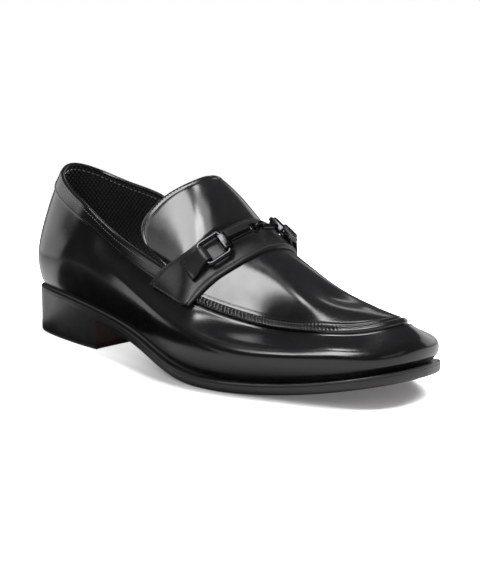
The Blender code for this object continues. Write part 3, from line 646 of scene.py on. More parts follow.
def tongue_grid(t):
    """(row, level) over the tongue: t 0 at its free edge to 1 at its tucked end."""
    half = along_list(TONGUE_EDGE, TONGUE_SIDE)
    edge = np.vstack([half, half[-2::-1] * (1, -1) + (0, 6)])
    level = np.linspace(TONGUE_EDGE[0][1], 3, TONGUE_SIDE)
    low = np.stack([table(THROAT, level) + TONGUE_TUCK, level], axis=1)
    low = np.vstack([low, low[-2::-1] * (1, -1) + (0, 6)])
    t = np.asarray(t)[:, None, None]
    return edge * (1 - t) + low * t


def tongue(leather, thread):
    """The tongue with a rounded free edge and a row of stitches beside it."""
    steps = edge_steps(50, TONGUE_REACH) / TONGUE_REACH
    place = tongue_grid(steps)
    row, level = place[..., 0], place[..., 1]
    far = (steps * TONGUE_REACH)[:, None]
    height = tongue_height(row, level)
    dent = TONGUE_DENT * hump((far - EDGE_STITCH) / STITCH_DENT)
    soft = 0.0012 * rounded(far, TONGUE_EDGE_ROUND[0]) - 0.0012 - dent
    outer = on_last(row, level, height + soft)
    behind = height - TONGUE_THICK + 0.0006 * (1 - rounded(far, TONGUE_EDGE_ROUND[1]))
    inner = on_last(row, level, behind)
    verts, faces = shell(outer, inner)
    skin = add_mesh("tongue_leather", verts, faces, leather, ("tongue",), auto=60)
    share = np.linspace(0, 1, 40)
    fine = tongue_grid(share)
    row, level = fine[:, TONGUE_SIDE - 1].T
    line_at = np.interp(EDGE_STITCH, arc_lengths(on_last(row, level, 0 * share)), share)
    line = tongue_grid([line_at])[0][24:-24]
    face = tongue_height(line[:, 0], line[:, 1]) - 0.0001
    path = on_last(line[:, 0], line[:, 1], face)
    stitches("tongue_stitches", path, last_normal(station(line[:, 0]), line[:, 1]), thread)
    return skin


# strap

def strap_place(share, turn):
    """(row, level) on the strap: share 0 back edge to 1 front edge, turn 0 outer end to 1 inner end."""
    share, turn = np.broadcast_arrays(np.asarray(share, float), np.asarray(turn, float))
    fold = 1 - np.abs(2 * turn - 1)
    foot = STRAP_FOOT[0] + (STRAP_FOOT[1] - STRAP_FOOT[0]) * share
    level = foot + (3 - foot) * fold
    edges = np.asarray(STRAP)
    at = np.clip(level, edges[0, 0], 3).ravel()
    back, front = (cubic(edges[:, 0], edges[:, c], at).reshape(level.shape) for c in (1, 2))
    return back + (front - back) * share, np.where(turn > 0.5, 6 - level, level)


def strap_line(share, turn, height):
    """Points and normals of a line on the strap."""
    row, level = strap_place(share, turn)
    return on_last(row, level, height), last_normal(station(row), level)


def strap(leather, thread):
    """The saddle strap: rounded edges, a stitched border and a box of stitches on each foot."""
    share, turn = np.meshgrid(both_edges(16, STRAP_WIDTH), both_edges(130, STRAP_LENGTH))
    row, level = strap_place(share, turn)
    from_side = np.minimum(share, 1 - share) * STRAP_WIDTH
    from_end = np.minimum(turn, 1 - turn) * STRAP_LENGTH
    near = np.minimum(from_side, from_end)
    dent = STRAP_DENT * sum(hump((reach - EDGE_STITCH) / STITCH_DENT) for reach in (from_side, from_end))
    dome = STRAP_DOME * smooth(from_side / 0.009)
    edge = STRAP_THICK * 0.55 * (1 - rounded(near, STRAP_EDGE))
    height = STRAP_TOP - edge - dent + dome - STRAP_DOME
    outer = on_last(row, level, height)
    inner = on_last(row, level, STRAP_BASE + 0 * height)
    verts, faces = shell(outer, inner)
    add_mesh("strap_leather", verts, faces, leather, ("strap",), auto=60)
    inset = EDGE_STITCH / STRAP_WIDTH
    end = EDGE_STITCH / STRAP_LENGTH
    face = STRAP_TOP - 0.00025
    turns = np.linspace(end, 1 - end, 500)
    for name, at in (("back", inset), ("front", 1 - inset)):
        path, normal = strap_line(at, turns, face)
        stitches("strap_stitches_" + name, path, normal, thread)
    for name, first, box in (("outer", end, FOOT_ROW), ("inner", 1 - end, 1 - FOOT_ROW)):
        for number, at in enumerate((first, box)):
            path, normal = strap_line(np.linspace(inset, 1 - inset, 80), at, face)
            stitches("foot_stitches_%s_%d" % (name, number), path, normal, thread)


# bit

def seat(place, lift):
    """Frame on the strap: point, direction towards the inner side, direction to the toe, normal."""
    u, v = station(place[0]), place[1]
    normal = last_normal(u, v)
    point = last_point(u, v) + normal * (STRAP_TOP + lift)
    toe = last_point(u + 1e-3, v) - last_point(u - 1e-3, v)
    toe = unit(toe - normal * toe.dot(normal))
    return point, np.cross(normal, toe), toe, normal


def axes(point, along, normal):
    """A frame whose first axis is along, and whose third lies as near the normal as it can."""
    along = unit(along)
    normal = unit(normal - along * normal.dot(along))
    return point, along, np.cross(normal, along), normal


def placed(at, points):
    """Points given along a frame's axes, in the scene."""
    origin, a, b, c = at
    p = np.asarray(points, float)
    return origin + p[..., :1] * a + p[..., 1:2] * b + p[..., 2:3] * c


def squircle(width, height, sides, power=3.2):
    """Section of a bar with softly flattened faces."""
    turn = 2 * math.pi * np.arange(sides) / sides
    c, s = np.cos(turn), np.sin(turn)
    across = np.sign(c) * np.abs(c) ** (2 / power) * width / 2
    up = np.sign(s) * np.abs(s) ** (2 / power) * height / 2
    return across, up


def wire_loop(path, section):
    """A closed bar along a loop in the plane of its frame's first two axes."""
    tangent = unit(np.roll(path, -1, 0) - np.roll(path, 1, 0))
    out = np.stack([tangent[:, 1], -tangent[:, 0], 0 * tangent[:, 0]], axis=1)
    across, up = section
    return path[:, None] + across[None, :, None] * out[:, None] + up[None, :, None] * np.array((0, 0, 1.0))


def ring_path(steps=9, straight=6):
    """Middle line of a ring: a rectangle with round corners."""
    half = np.array((RING_LENGTH - WIRE, RING_WIDTH - WIRE)) / 2 - RING_CORNER
    points = []
    for quarter, signs in enumerate(((1, 1), (-1, 1), (-1, -1), (1, -1))):
        x, y = signs * half
        for angle in np.linspace(0, math.pi / 2, steps) + quarter * math.pi / 2:
            points.append((x + RING_CORNER * math.cos(angle), y + RING_CORNER * math.sin(angle), 0))
    points = np.array(points)
    return resampled(np.vstack([points, points[:1]]), 4 * (steps + straight) + 1)[:-1]


def lathe(at, stations_and_sizes, sides=28, power=2.6, axis=0):
    """A bar along a frame's axis: (place, width, height) sections, closed at both ends."""
    rings = []
    for place, width, height in stations_and_sizes:
        across, up = squircle(width, height, sides, power)
        if axis == 0:
            rings.append(np.stack([0 * across + place, across, up], axis=1))
        else:
            rings.append(np.stack([across, 0 * across + place, up], axis=1))
    points = placed(at, np.array(rings))
    count = len(rings)
    faces = grid_faces(count, sides, wrap_columns=True)
    faces.append(tuple(range(sides)))
    faces.append(tuple((count - 1) * sides + j for j in range(sides - 1, -1, -1)))
    return points.reshape(-1, 3), faces


def joined(name, parts, material, replaced):
    """One metal piece from several sets of points and faces."""
    verts, faces, base = [], [], 0
    for points, own in parts:
        verts.append(points)
        faces += [tuple(base + i for i in f) for f in own]
        base += len(points)
    add_mesh(name, np.concatenate(verts), faces, material, replaced, 50)


def rounded_bar(length, width, height, edge):
    """Sections of a bar with softened ends."""
    sections = []
    for turn in np.linspace(0, math.pi / 2, 5):
        trim = edge * (1 - math.sin(turn))
        sections.append((-length / 2 + edge * (1 - math.cos(turn)), width - 2 * trim, height - 2 * trim))
    mirrored = [(-place, w, h) for place, w, h in reversed(sections)]
    return sections + mirrored


def bar(name, at, link, upright, metal, node):
    """A bar of the bit: sleeve on the ring's inner bar, rod, eye."""
    start = at[0]
    centre = link[0] - link[1] * EYE_RADIUS / 2
    own = axes(start, centre - start, at[3])
    reach = np.linalg.norm(centre - start) - EYE_RADIUS * 0.8
    sections = rounded_bar(SLEEVE_WIDTH, 2 * SLEEVE_ROUND, 1.86 * SLEEVE_ROUND, 0.0006)
    sleeve = lathe(at, sections, 36, 4.0, axis=1)
    neck = SLEEVE_ROUND * 0.7
    sections = [(neck, 0.0052, 0.0036), (neck + 0.001, 0.0042, ROD * 0.95), (neck + 0.0022, ROD, ROD),
                ((neck + reach) / 2, ROD * 0.94, ROD * 0.94), (reach - 0.0014, ROD * 0.9, ROD * 0.9),
                (reach - 0.0004, ROD, ROD * 0.86), (reach, ROD * 0.9, ROD * 0.8)]
    rod = lathe(own, sections, 24, 2.1)
    angle = 2 * math.pi * np.arange(40) / 40
    path = np.stack([EYE_RADIUS * np.cos(angle), EYE_RADIUS * np.sin(angle), 0 * angle], axis=1)
    eye = wire_loop(path, squircle(EYE_WIRE, EYE_WIRE, 16, 2.0))
    if upright:
        eye = np.stack([eye[..., 0], -eye[..., 2], eye[..., 1]], axis=2)
    eye = placed(link, eye - (EYE_RADIUS / 2, 0, 0)).reshape(-1, 3)
    joined(name, [sleeve, rod, (eye, grid_faces(40, 16, True, True))], metal, (node,))


def place_over_last(points):
    """Station, level and height over the last of points near the instep."""
    row, level = (c.ravel() for c in np.meshgrid(np.linspace(4.6, 7.4, 29), np.linspace(1.5, 4.5, 31)))
    cloud = last_point(station(row), level)
    near = np.array([((cloud - p) ** 2).sum(1).argmin() for p in points])
    u, v = station(row)[near], level[near]
    step = 1e-4
    for _ in range(8):
        foot = last_point(u, v)
        du = (last_point(u + step, v) - foot) / step
        dv = (last_point(u, v + step) - foot) / step
        a, b, c = (du * du).sum(1), (du * dv).sum(1), (dv * dv).sum(1)
        p, q = ((points - foot) * du).sum(1), ((points - foot) * dv).sum(1)
        u = u + (p * c - q * b) / (a * c - b * b)
        v = v + (q * a - p * b) / (a * c - b * b)
    return u, v, ((points - last_point(u, v)) * last_normal(u, v)).sum(1)


def lifted(points, least):
    """Points moved out along the last's normal where they lie lower than least over it."""
    flat = points.reshape(-1, 3)
    u, v, height = place_over_last(flat)
    short = np.maximum(np.broadcast_to(least, points.shape[:2]).ravel() - height, 0)
    return (flat + last_normal(u, v) * short[:, None]).reshape(points.shape)


def tab_profile(wrap, run, radius, low_end, high_end):
    """Up from the foot, round the bar and back above, as (towards the foot, up) pairs."""
    bend = np.stack([-radius * np.cos(wrap), radius * np.sin(wrap)], axis=1)
    share = np.append(np.linspace(1.0, 0.9, 6)[:-1], np.linspace(0.9, 0.05, TAB_LEG - 5))[:, None]
    low = np.array((run, low_end)) * share + bend[0] * (1 - share)
    high = np.array((run, high_end)) * share[::-1] + bend[-1] * (1 - share[::-1])
    return np.vstack([low, bend, high])


def tab_width(pairs, run):
    """Width of a tab along its profile: narrow at the ring, wide at the foot."""
    spread = smooth((pairs[:, 0] / run - 0.15) / 0.85)
    return TAB_RING_WIDTH + (TAB_FOOT_WIDTH - TAB_RING_WIDTH) * spread


def tab_stitches(name, face, rise, across, top, thread):
    """A stitch row along each side of a tab's upper face, and two rows across its foot."""
    for number, share in enumerate(TAB_ROWS):
        j, mix = divmod(np.interp(share - 0.5, across, np.arange(len(across))), 1)
        j = int(j)
        path = face[top:, j] * (1 - mix) + face[top:, j + 1] * mix
        stitches("%s_stitches_%d" % (name, number), path, rise[top:, j], thread)
    for number, row in enumerate(TAB_FOOT_ROWS):
        path, normal = (resampled(grid[row, 5:-5], 60) for grid in (face, rise))
        stitches("%s_foot_stitches_%d" % (name, number), path, normal, thread)


def tab(name, foot, at, side, leather, thread, node):
    """A leather tab: up from its foot on the strap, round the ring's outer bar and back above."""
    origin, along, toe, normal = at
    bar_at = origin - side * along * (RING_LENGTH - WIRE) / 2
    back = -side * along
    base = seat(foot, GAP)[0]
    run, drop = (base - bar_at).dot(back), (bar_at - base).dot(normal)
    wrap = np.linspace(-math.pi / 2, math.pi / 2 + math.atan2(drop, run), 18)
    across = both_edges(8, TAB_RING_WIDTH, TAB_FINE) - 0.5

    def points(pairs):
        side_step = tab_width(pairs, run)[:, None, None] * across[None, :, None] * toe
        return bar_at + pairs[:, :1, None] * back + pairs[:, 1:, None] * normal + side_step

    inside = WIRE / 2 + GAP
    outer = tab_profile(wrap, run, inside + TAB_THICK, -drop, -drop + 2 * TAB_THICK + GAP)
    inner = tab_profile(wrap, run, inside, -drop + TAB_THICK, -drop + TAB_THICK + GAP)
    over = STRAP_TOP + GAP + SEAT_AIR
    share = np.clip((np.arange(len(outer)) - TAB_LEG) / (len(wrap) - 1), 0, 1)[:, None]
    face = lifted(points(outer), over + share * (2 * TAB_THICK + GAP))
    core = lifted(points(inner), over + TAB_THICK + share * GAP)
    edge = (0.5 - np.abs(across))[None, :] * tab_width(outer, run)[:, None]
    length = arc_lengths(outer)
    near = np.minimum(edge, np.minimum(length, length[-1] - length)[:, None])
    sink = 0.6 * TAB_THICK * (1 - rounded(near, 0.0008)) + 0.00018 * hump((edge - 0.0015) / 0.0006)
    face = face - unit(face - core) * sink[..., None]
    verts, faces = shell(face, core)
    add_mesh(name, verts, faces, leather, (node,), auto=60)
    tab_stitches(name, face, unit(face - core), across, TAB_LEG + len(wrap), thread)


def bit(metal, leather, thread):
    """Two rings held by tabs, and two bars linked in the middle."""
    middle = seat(BIT_JOINT, JOINT_LIFT)
    joint, top = middle[0], middle[3]
    across = seat(INNER_RING, RING_LIFT)[0] - seat(OUTER_RING, RING_LIFT)[0]
    ends = ((OUTER_RING, OUTER_TAB_FOOT, 1, "outer"), (INNER_RING, INNER_TAB_FOOT, -1, "inner"))
    for place, foot, side, end in ends:
        at = seat(place, RING_LIFT)
        sideways = np.cross(at[3], joint - at[0])
        at = axes(at[0], side * np.cross(sideways, at[3]), at[3])
        path = ring_path()
        points = placed(at, wire_loop(path, squircle(WIRE, WIRE * 0.96, 24, 2.8)))
        faces = grid_faces(len(path), 24, True, True)
        add_mesh("bit_ring_" + end, points, faces, metal, ("ring_" + end,), 60)
        start = at[0] + side * at[1] * (RING_LENGTH - WIRE) / 2
        start = (start, side * at[1], side * at[2], at[3])
        link = axes(joint, side * across, top)
        bar("bit_bar_" + end, start, link, end == "inner", metal, "bar_" + end)
        tab("ring_tab_" + end, foot, at, side, leather, thread, "tab_" + end)


# sole

def outline(margin, count=720):
    """The feather edge moved out by margin(along): points from the heel round, and outward directions."""
    u = np.linspace(0, ROUND, count, endpoint=False)
    edge = last_point(u, 0 * u)
    tangent = np.roll(edge, -1, 0) - np.roll(edge, 1, 0)
    out = unit(np.stack([tangent[:, 1], -tangent[:, 0]], axis=1))
    along = (edge[:, 0] + HEEL_SET) / LENGTH
    return edge[:, :2] + out * margin(along)[:, None], out


def welt(along):
    """How far the sole stands out past the feather edge."""
    return WELT * table(WELT_LINE, along)


def net_across(near, far, share):
    """Plan points between two sides of an outline, and the height of the sole's bottom there."""
    rows = near[:, None] * (1 - share[None, :, None]) + far[:, None] * share[None, :, None]
    return rows, sole_bottom(rows[..., 0].ravel()).reshape(rows.shape[:2])


def capped(rings, ring, height, base):
    """Points and faces that close a ring of the sole's edge; base is the number of the first new point."""
    rim = rings[ring]
    count, half = len(rim), len(rim) // 2
    share = np.linspace(0, 1, 14)[1:-1]
    rows, z = net_across(rim[1:half, :2], rim[:half:-1, :2], share)
    first = ring * count
    grid = base + np.arange((half - 1) * len(share)).reshape(half - 1, len(share))
    full = np.column_stack([first + np.arange(1, half), grid, first + np.arange(count - 1, half, -1)])
    faces = [face for a, b in zip(full, full[1:]) for face in zip(a, b, b[1:], a[1:])]
    for line, tip in ((full[0], first), (full[-1], first + half)):
        faces += [(tip, a, b) for a, b in zip(line, line[1:])]
    return np.dstack([rows, z + height]).reshape(-1, 3), faces


def outsole(edge_mat, under_mat):
    """Outsole: a swept edge with a welt groove and rounded corners, closed above and below."""
    flat, out = outline(welt)
    count = len(flat)
    rings = []
    before = smooth((flat[:, 0] - HEEL_LENGTH + HEEL_SET) / SOLE_EDGE_BEND)
    for inset, share in SOLE_EDGE:
        bevel = inset * before if -0.004 < inset and share < 0.3 else inset * np.ones(count)
        xy = flat + out * bevel[:, None]
        z = sole_bottom(xy[:, 0]) + share * (SOLE_THICK - GAP)
        rings.append(np.column_stack([xy, z]))
    rings = np.array(rings)
    faces = grid_faces(len(rings), count, wrap_columns=True)
    verts = rings.reshape(-1, 3)
    for ring, height in ((0, SOLE_THICK - GAP), (len(rings) - 1, 0.0)):
        points, own = capped(rings, ring, height, len(verts))
        verts = np.concatenate([verts, points])
        faces += own
    obj = add_mesh("sole", verts, faces, edge_mat, ("outsole",), 50)
    orient(obj)
    paint(obj, under_mat, lambda normal: normal.z < -0.75)
    return obj


def orient(obj):
    """Turns all faces outwards."""
    bm = bmesh.new()
    bm.from_mesh(obj.data)
    bmesh.ops.recalc_face_normals(bm, faces=bm.faces)
    bm.to_mesh(obj.data)
    bm.free()


def paint(obj, material, chosen):
    """A second material on the faces whose normal is chosen."""
    obj.data.materials.append(material)
    for poly in obj.data.polygons:
        if chosen(poly.normal):
            poly.material_index = 1


def heel_block(side_mat, breast_mat):
    """Heel: smooth swept sides, a slightly hollow breast and a flat bottom."""
    flat, out = outline(welt)
    breast = HEEL_LENGTH - HEEL_SET
    keep = flat[:, 0] <= breast
    half = len(flat) // 2
    outer = np.flatnonzero(keep[:half])
    inner = np.flatnonzero(keep[half:]) + half
    order = np.append(inner, outer)
    side, side_out = flat[order], out[order]
    side[0, 0] = side[-1, 0] = breast
    share = np.linspace(0, 1, 26)[1:-1]
    across = side[-1, 1] + (side[0, 1] - side[-1, 1]) * share
    hollow = np.stack([breast - BREAST_HOLLOW * np.sin(math.pi * share), across], axis=1)
    loop = np.vstack([side, hollow])
    turn = np.vstack([side_out, np.tile((1.0, 0.0), (len(hollow), 1))])
    count = len(loop)
    rings = []
    top = sole_bottom(loop[:, 0]) - 0.00003
    for height, inset in HEEL_SIDE:
        xy = loop + turn * inset
        rings.append(np.column_stack([xy, np.minimum(height, top)]))
    rings.append(np.column_stack([loop, top]))
    faces = grid_faces(len(rings), count, wrap_columns=True)
    faces.append(tuple(range(count - 1, -1, -1)))
    faces.append(tuple((len(rings) - 1) * count + i for i in range(count)))
    obj = add_mesh("heel_block", rings, faces, side_mat, ("heel",), 40)
    orient(obj)
    paint(obj, breast_mat, lambda normal: normal.x > 0.85)


def insole(leather):
    """The insole, domed a little at its edge."""
    flat = outline(lambda along: 0 * along - WALL - 2 * GAP, 360)[0]
    half = len(flat) // 2
    near, far = flat[:half + 1], np.vstack([flat[:1], flat[:half - 1:-1]])
    share = np.append(0, np.append(np.linspace(0.03, 0.97, 22), 1))
    rows, z = net_across(near, far, share)
    z = z + SOLE_THICK
    width = np.linalg.norm(near - far, axis=1)[:, None]
    edge = np.minimum(share, 1 - share)[None] * width
    top = np.dstack([rows, z + INSOLE_THICK - 0.0008 * (1 - rounded(edge, 0.004))])
    verts, faces = shell(top, np.dstack([rows, z]))
    obj = add_mesh("insole_leather", verts, faces, leather, ("insole",), 50)
    orient(obj)


# materials

def node(tree, kind, settings=None, **inputs):
    """A node with its settings; each input is a value or another node's socket."""
    made = tree.nodes.new(kind)
    for name, value in (settings or {}).items():
        setattr(made, name, value)
    for name, value in inputs.items():
        number = name[1:]
        put(tree, made.inputs[int(number) if number.isdigit() else name.replace("_", " ")], value)
    return made


def put(tree, socket, value):
    """Links another node's socket, or sets a plain value."""
    if isinstance(value, bpy.types.NodeSocket):
        tree.links.new(value, socket)
    else:
        socket.default_value = value


def dress(tree, shader, **values):
    """Sets or links the shader's inputs; an underscore stands for a space in a name."""
    for name, value in values.items():
        put(tree, shader.inputs[name.replace("_", " ")], value)


def object_place(tree):
    """The place on the object, for patterns that stay on it."""
    return tree.nodes.new("ShaderNodeTexCoord").outputs["Object"]


def ramp(tree, value, low, high, start, end):
    """Value mapped from low..high to start..end, smoothly."""
    made = node(tree, "ShaderNodeMapRange", {"interpolation_type": "SMOOTHSTEP"}, Value=value)
    for name, number in (("From Min", low), ("From Max", high), ("To Min", start), ("To Max", end)):
        made.inputs[name].default_value = number
    return made.outputs["Result"]


def reckon(tree, a, b, kind):
    """Sum, product or quotient of two values."""
    return node(tree, "ShaderNodeMath", {"operation": kind}, _0=a, _1=b).outputs[0]


def noise(tree, place, scale, detail, roughness=0.5):
    """Cloudy values over the surface."""
    made = node(tree, "ShaderNodeTexNoise", Vector=place, Scale=scale, Detail=detail, Roughness=roughness)
    return made.outputs["Fac"]


def bump(tree, strength, distance, height, **under):
    """The normal of a raised surface, over another one where it is given."""
    made = node(tree, "ShaderNodeBump", Strength=strength, Distance=distance, Height=height, **under)
    return made.outputs[0]


def blend(tree, share, first, second):
    """A colour between two."""
    made = node(tree, "ShaderNodeMix", {"data_type": "RGBA"}, _0=share, _6=(*first, 1), _7=(*second, 1))
    return made.outputs[2]


def new_group(name, given, made):
    """A node group with (name, value) inputs and (name, kind) outputs."""
    tree = bpy.data.node_groups.new(name, "ShaderNodeTree")
    for socket_name, value in given:
        socket = tree.interface.new_socket(socket_name, in_out="INPUT", socket_type="NodeSocketFloat")
        socket.default_value = value
    for socket_name, kind in made:
        tree.interface.new_socket(socket_name, in_out="OUTPUT", socket_type="NodeSocket" + kind)
    return tree, tree.nodes.new("NodeGroupInput").outputs, tree.nodes.new("NodeGroupOutput").inputs


def grain_group():
    """Leather's surface: pores, pebbles and soft waves as a normal, and blotches for the gloss."""
    given = (("Size", 0.0008), ("Depth", 0.00003), ("Waves", 0.0001))
    tree, given, out = new_group("leather_grain", given, (("Normal", "Vector"), ("Blotches", "Float")))
    place = object_place(tree)
    scale = reckon(tree, 1.0, given["Size"], "DIVIDE")
    bend = node(tree, "ShaderNodeTexNoise", Vector=place, Scale=900.0, Detail=2.0)
    shifted = node(tree, "ShaderNodeVectorMath", {"operation": "MULTIPLY_ADD"}, _0=bend.outputs["Color"],
                   _1=(0.0004, 0.0004, 0.0004), _2=place).outputs[0]
    cells = node(tree, "ShaderNodeTexVoronoi", {"feature": "DISTANCE_TO_EDGE"}, Vector=shifted, Scale=scale)
    cell = ramp(tree, cells.outputs["Distance"], 0.0, 0.22, 0.0, 1.0)
    fine = reckon(tree, noise(tree, place, 2600.0, 3.0), 0.6, "MULTIPLY")
    grain = reckon(tree, cell, fine, "ADD")
    low = bump(tree, 1.0, given["Waves"], noise(tree, place, 170.0, 2.0, 0.45))
    put(tree, out["Normal"], bump(tree, 1.0, given["Depth"], grain, Normal=low))
    put(tree, out["Blotches"], noise(tree, place, 55.0, 5.0, 0.6))
    return tree


def twist_group():
    """The twisted surface of thread, as a normal."""
    tree, given, out = new_group("thread_twist", (("Depth", 0.00006),), (("Normal", "Vector"),))
    put(tree, out["Normal"], bump(tree, 0.5, given["Depth"], noise(tree, object_place(tree), 3500.0, 2.0)))
    return tree


def new_material(name):
    """A material, its node tree and its Principled shader."""
    material = bpy.data.materials.new(name)
    material.use_nodes = True
    tree = material.node_tree
    return material, tree, tree.nodes["Principled BSDF"]


def grained(tree, grain, size, depth, waves):
    """The grain group placed in a material: its normal, and its blotches between 0 and 1."""
    surface = node(tree, "ShaderNodeGroup", {"node_tree": grain}, Size=size, Depth=depth, Waves=waves)
    return surface.outputs["Normal"], surface.outputs["Blotches"]


def leather_material(name, grain, color, gloss, size, depth, waves, coat):
    """Leather: colour, (least, most) roughness, grain's size, depth and waves, (coat's weight, roughness)."""
    material, tree, shader = new_material(name)
    normal, blotches = grained(tree, grain, size, depth, waves)
    dress(tree, shader, Base_Color=(*color, 1), Roughness=ramp(tree, blotches, 0.35, 0.65, *gloss),
          Normal=normal, Coat_Weight=coat[0], Coat_Roughness=coat[1])
    return material


def lining_material():
    """Black lining with a regular dotted weave."""
    material, tree, shader = new_material("dotted_lining")
    split = node(tree, "ShaderNodeSeparateXYZ", Vector=object_place(tree)).outputs
    across = reckon(tree, split["X"], split["Y"], "ADD")
    flat = node(tree, "ShaderNodeCombineXYZ", X=across, Y=split["Z"]).outputs[0]
    turned = node(tree, "ShaderNodeMapping", Vector=flat, Rotation=(0, 0, math.radians(45))).outputs[0]
    dots = node(tree, "ShaderNodeTexVoronoi", {"feature": "F1", "voronoi_dimensions": "2D"}, Vector=turned,
                Scale=400.0, Randomness=0.0)
    dot = ramp(tree, dots.outputs["Distance"], 0.15, 0.45, 1.0, 0.0)
    dress(tree, shader, Base_Color=blend(tree, dot, (0.020, 0.019, 0.019), (0.085, 0.083, 0.083)),
          Roughness=0.6, Normal=bump(tree, 0.6, 0.0003, dot))
    return material


def thread_material(name, twist, color):
    """Twisted thread of one colour."""
    material, tree, shader = new_material(name)
    surface = node(tree, "ShaderNodeGroup", {"node_tree": twist}, Depth=0.00006)
    dress(tree, shader, Base_Color=(*color, 1), Roughness=0.45, Normal=surface.outputs["Normal"])
    return material


def metal_material():
    """Dark polished metal, faintly brushed and scuffed."""
    material, tree, shader = new_material("dark_metal")
    cloud = noise(tree, object_place(tree), 420.0, 5.0, 0.65)
    dress(tree, shader, Base_Color=(0.045, 0.044, 0.046, 1), Metallic=1.0,
          Roughness=ramp(tree, cloud, 0.35, 0.7, 0.13, 0.3), Normal=bump(tree, 0.35, 0.00004, cloud))
    return material


def edge_material(grain):
    """Painted and polished leather edge: fine lines along the layers."""
    material, tree, shader = new_material("black_edge")
    long = node(tree, "ShaderNodeMapping", Vector=object_place(tree), Scale=(60.0, 60.0, 1500.0)).outputs[0]
    normal, blotches = grained(tree, grain, 0.0011, 0.00002, 0.00008)
    lines = bump(tree, 0.4, 0.000010, noise(tree, long, 1.0, 4.0), Normal=normal)
    dress(tree, shader, Base_Color=(0.020, 0.019, 0.019, 1), Normal=lines, Coat_Weight=0.25,
          Coat_Roughness=0.2, Roughness=ramp(tree, blotches, 0.35, 0.65, 0.28, 0.46))
    return material


def tan_material(grain):
    """Dark reddish brown sole leather with a cloudy stain."""
    material, tree, shader = new_material("sole_leather")
    cloud = ramp(tree, noise(tree, object_place(tree), 38.0, 6.0, 0.6), 0.3, 0.7, 0.0, 1.0)
    normal, blotches = grained(tree, grain, 0.0006, 0.00002, 0.00006)
    dress(tree, shader, Base_Color=blend(tree, cloud, (0.030, 0.010, 0.007), (0.060, 0.020, 0.013)),
          Roughness=ramp(tree, blotches, 0.3, 0.7, 0.32, 0.5), Normal=normal, Coat_Weight=0.15,
          Coat_Roughness=0.3)
    return material


# studio

def direction(azimuth, elevation):
    """Azimuth 0 is the toe's side, 90 the inner side and -90 the outer side."""
    a, e = math.radians(azimuth), math.radians(elevation)
    return np.array((math.cos(a) * math.cos(e), math.sin(a) * math.cos(e), math.sin(e)))


def panel(name, azimuth, elevation, distance, width, height, radiance, only=None):
    """A soft box seen in reflections alone; it can be kept to one object."""
    light = bpy.data.lights.new(name, "AREA")
    light.shape = "RECTANGLE"
    light.size, light.size_y = width, height
    light.energy = radiance * math.pi * width * height
    obj = bpy.data.objects.new(name, light)
    away = direction(azimuth, elevation)
    obj.location = np.array(AIM) + away * distance
    obj.rotation_euler = Vector(away).to_track_quat("Z", "Y").to_euler()
    obj.visible_camera = False
    obj.visible_diffuse = False
    if only is not None:
        obj.light_linking.receiver_collection = listed(name, (only,))
    bpy.context.collection.objects.link(obj)
    return obj


def listed(name, objects):
    """A collection of objects for light linking."""
    made = bpy.data.collections.new(name)
    for obj in objects:
        made.objects.link(obj)
    return made


def sheet(name, corners, material):
    """A flat piece of the stage from its corners."""
    mesh = bpy.data.meshes.new(name)
    mesh.from_pydata([tuple(c) for c in corners], [], [tuple(range(len(corners)))])
    mesh.materials.append(material)
    obj = bpy.data.objects.new(name, mesh)
    bpy.context.collection.objects.link(obj)
    return obj


def floor():
    """A white floor that fades into the backdrop; to the camera it glows with painted light, strongest behind
    the heel and faint further forward, which lightens the shoe's shadow; reflections see it greyer.
    """
    material, tree, shader = new_material("pale_floor")
    place = object_place(tree)
    far = node(tree, "ShaderNodeVectorMath", {"operation": "LENGTH"}, _0=place).outputs["Value"]
    seen = tree.nodes.new("ShaderNodeLightPath").outputs["Is Camera Ray"]
    along = node(tree, "ShaderNodeSeparateXYZ", Vector=place).outputs["X"]
    # painted light: a glow seen by the camera alone, strong behind the heel and faint elsewhere, that washes
    # out the shoe's cast shadow
    painted_light_glow = ramp(tree, along, -0.09, 0.02, 0.8, 0.12)
    dress(tree, shader, Base_Color=ramp(tree, seen, 0.0, 1.0, 0.30, 0.92), Roughness=0.8,
          Specular_IOR_Level=0.1, Emission_Color=(1, 1, 1, 1),
          Emission_Strength=reckon(tree, painted_light_glow, seen, "MULTIPLY"), Alpha=ramp(tree, far, 0.22, 0.75, 1.0, 0.0))
    obj = sheet("floor", ((-1, -1, 0), (1, -1, 0), (1, 1, 0), (-1, 1, 0)), material)
    obj.location = (AIM[0], 0, 0)


def dark_card(azimuth, distance, length, width):
    """A black card on the floor beside the shoe, seen in reflections alone."""
    material, tree, shader = new_material("dark_card")
    dress(tree, shader, Base_Color=(0.002, 0.002, 0.002, 1), Specular_IOR_Level=0.0)
    away = direction(azimuth, 0)
    side = np.cross(away, (0, 0, 1)) * width / 2
    middle = np.array((AIM[0], 0, 0.002)) + away * distance
    near, far = middle - away * length / 2, middle + away * length / 2
    obj = sheet("dark_card", (near - side, far - side, far + side, near + side), material)
    obj.visible_camera = obj.visible_diffuse = obj.visible_shadow = False


def world():
    """White to the camera, a low fill on matt surfaces and nearly black in reflections."""
    made = bpy.data.worlds.new("studio")
    made.use_nodes = True
    tree = made.node_tree
    tree.nodes.clear()
    path = tree.nodes.new("ShaderNodeLightPath").outputs
    dark, fill, pale = (node(tree, "ShaderNodeBackground", Color=(1, 1, 1, 1), Strength=strength).outputs[0]
                        for strength in (0.07, 0.55, 1.0))
    unseen = node(tree, "ShaderNodeMixShader", _0=path["Is Diffuse Ray"], _1=dark, _2=fill).outputs[0]
    mix = node(tree, "ShaderNodeMixShader", _0=path["Is Camera Ray"], _1=unseen, _2=pale).outputs[0]
    node(tree, "ShaderNodeOutputWorld", Surface=mix)
    bpy.context.scene.world = made


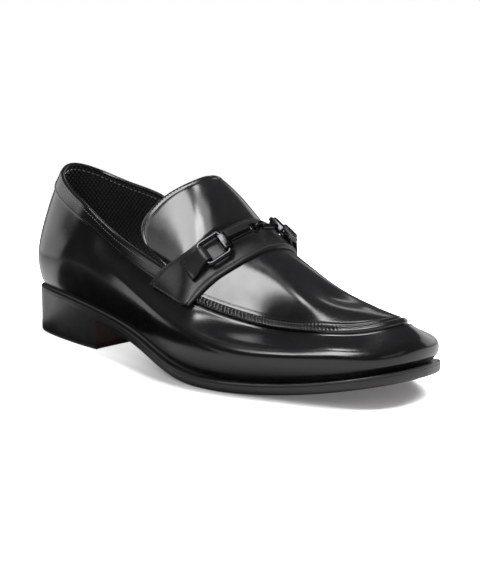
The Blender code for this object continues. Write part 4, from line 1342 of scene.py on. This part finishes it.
def camera():
    """The camera at the photo's angle, with the photo's framing."""
    data = bpy.data.cameras.new("camera")
    long_side = max(FRAME_WIDTH, FRAME_HEIGHT)
    data.sensor_width = 36
    data.lens = data.sensor_width * FOCAL_PIXELS / long_side
    data.shift_x, data.shift_y = (value / long_side for value in FRAME_SHIFT)
    data.clip_start, data.clip_end = 0.05, 50
    obj = bpy.data.objects.new("camera", data)
    away = direction(CAMERA_AZIMUTH - 90, CAMERA_ELEVATION)
    obj.location = np.array(AIM) + away * CAMERA_DISTANCE
    obj.rotation_euler = Vector(away).to_track_quat("Z", "Y").to_euler()
    bpy.context.collection.objects.link(obj)
    bpy.context.scene.camera = obj


def studio(tongue_skin, casting):
    """Soft boxes as the shoe's highlights show them, and one light behind that casts the shadow."""
    bpy.context.scene.view_settings.view_transform = "Standard"
    world()
    floor()
    for box in SOFT_BOXES:
        panel(*box)
    for box in TONGUE_BOXES:
        panel(*box, only=tongue_skin)
    shadow = panel(*SHADOW_LIGHT)
    shadow.visible_diffuse = True
    shadow.visible_glossy = False
    shadow.light_linking.blocker_collection = listed("casts_shadow", casting)
    dark_card(*CARD)


def main():
    """All materials, pieces and lights, and the camera."""
    grain = grain_group()
    leather = leather_material("black_leather", grain, color=(0.0050, 0.0048, 0.0052), gloss=(0.17, 0.24),
                               size=0.0008, depth=0.000004, waves=0.00003, coat=(0.25, 0.18))
    strap_leather = leather_material("black_strap_leather", grain, color=(0.0055, 0.0053, 0.0056),
                                     gloss=(0.34, 0.46), size=0.0009, depth=0.000016, waves=0.00006,
                                     coat=(0.0, 0.2))
    inner = leather_material("black_insole", grain, color=(0.016, 0.015, 0.015), gloss=(0.42, 0.6),
                             size=0.0011, depth=0.00004, waves=0.0001, coat=(0.0, 0.3))
    lining = lining_material()
    twist = twist_group()
    thread = thread_material("black_thread", twist, (0.012, 0.012, 0.013))
    grey_thread = thread_material("grey_thread", twist, (0.16, 0.16, 0.165))
    light_thread = thread_material("light_grey_thread", twist, (0.32, 0.32, 0.32))
    strap_thread = thread_material("dark_grey_thread", twist, (0.06, 0.06, 0.062))
    metal = metal_material()
    edge = edge_material(grain)
    brown = tan_material(grain)
    skin = upper_skin(leather)
    seam_strip(leather)
    lining_skin(lining)
    collar_stitches(thread, grey_thread, light_thread)
    tongue_skin = tongue(leather, thread)
    strap(strap_leather, strap_thread)
    bit(metal, strap_leather, thread)
    sole = outsole(edge, brown)
    heel_block(edge, brown)
    insole(inner)
    studio(tongue_skin, (skin, sole))
    camera()


main()
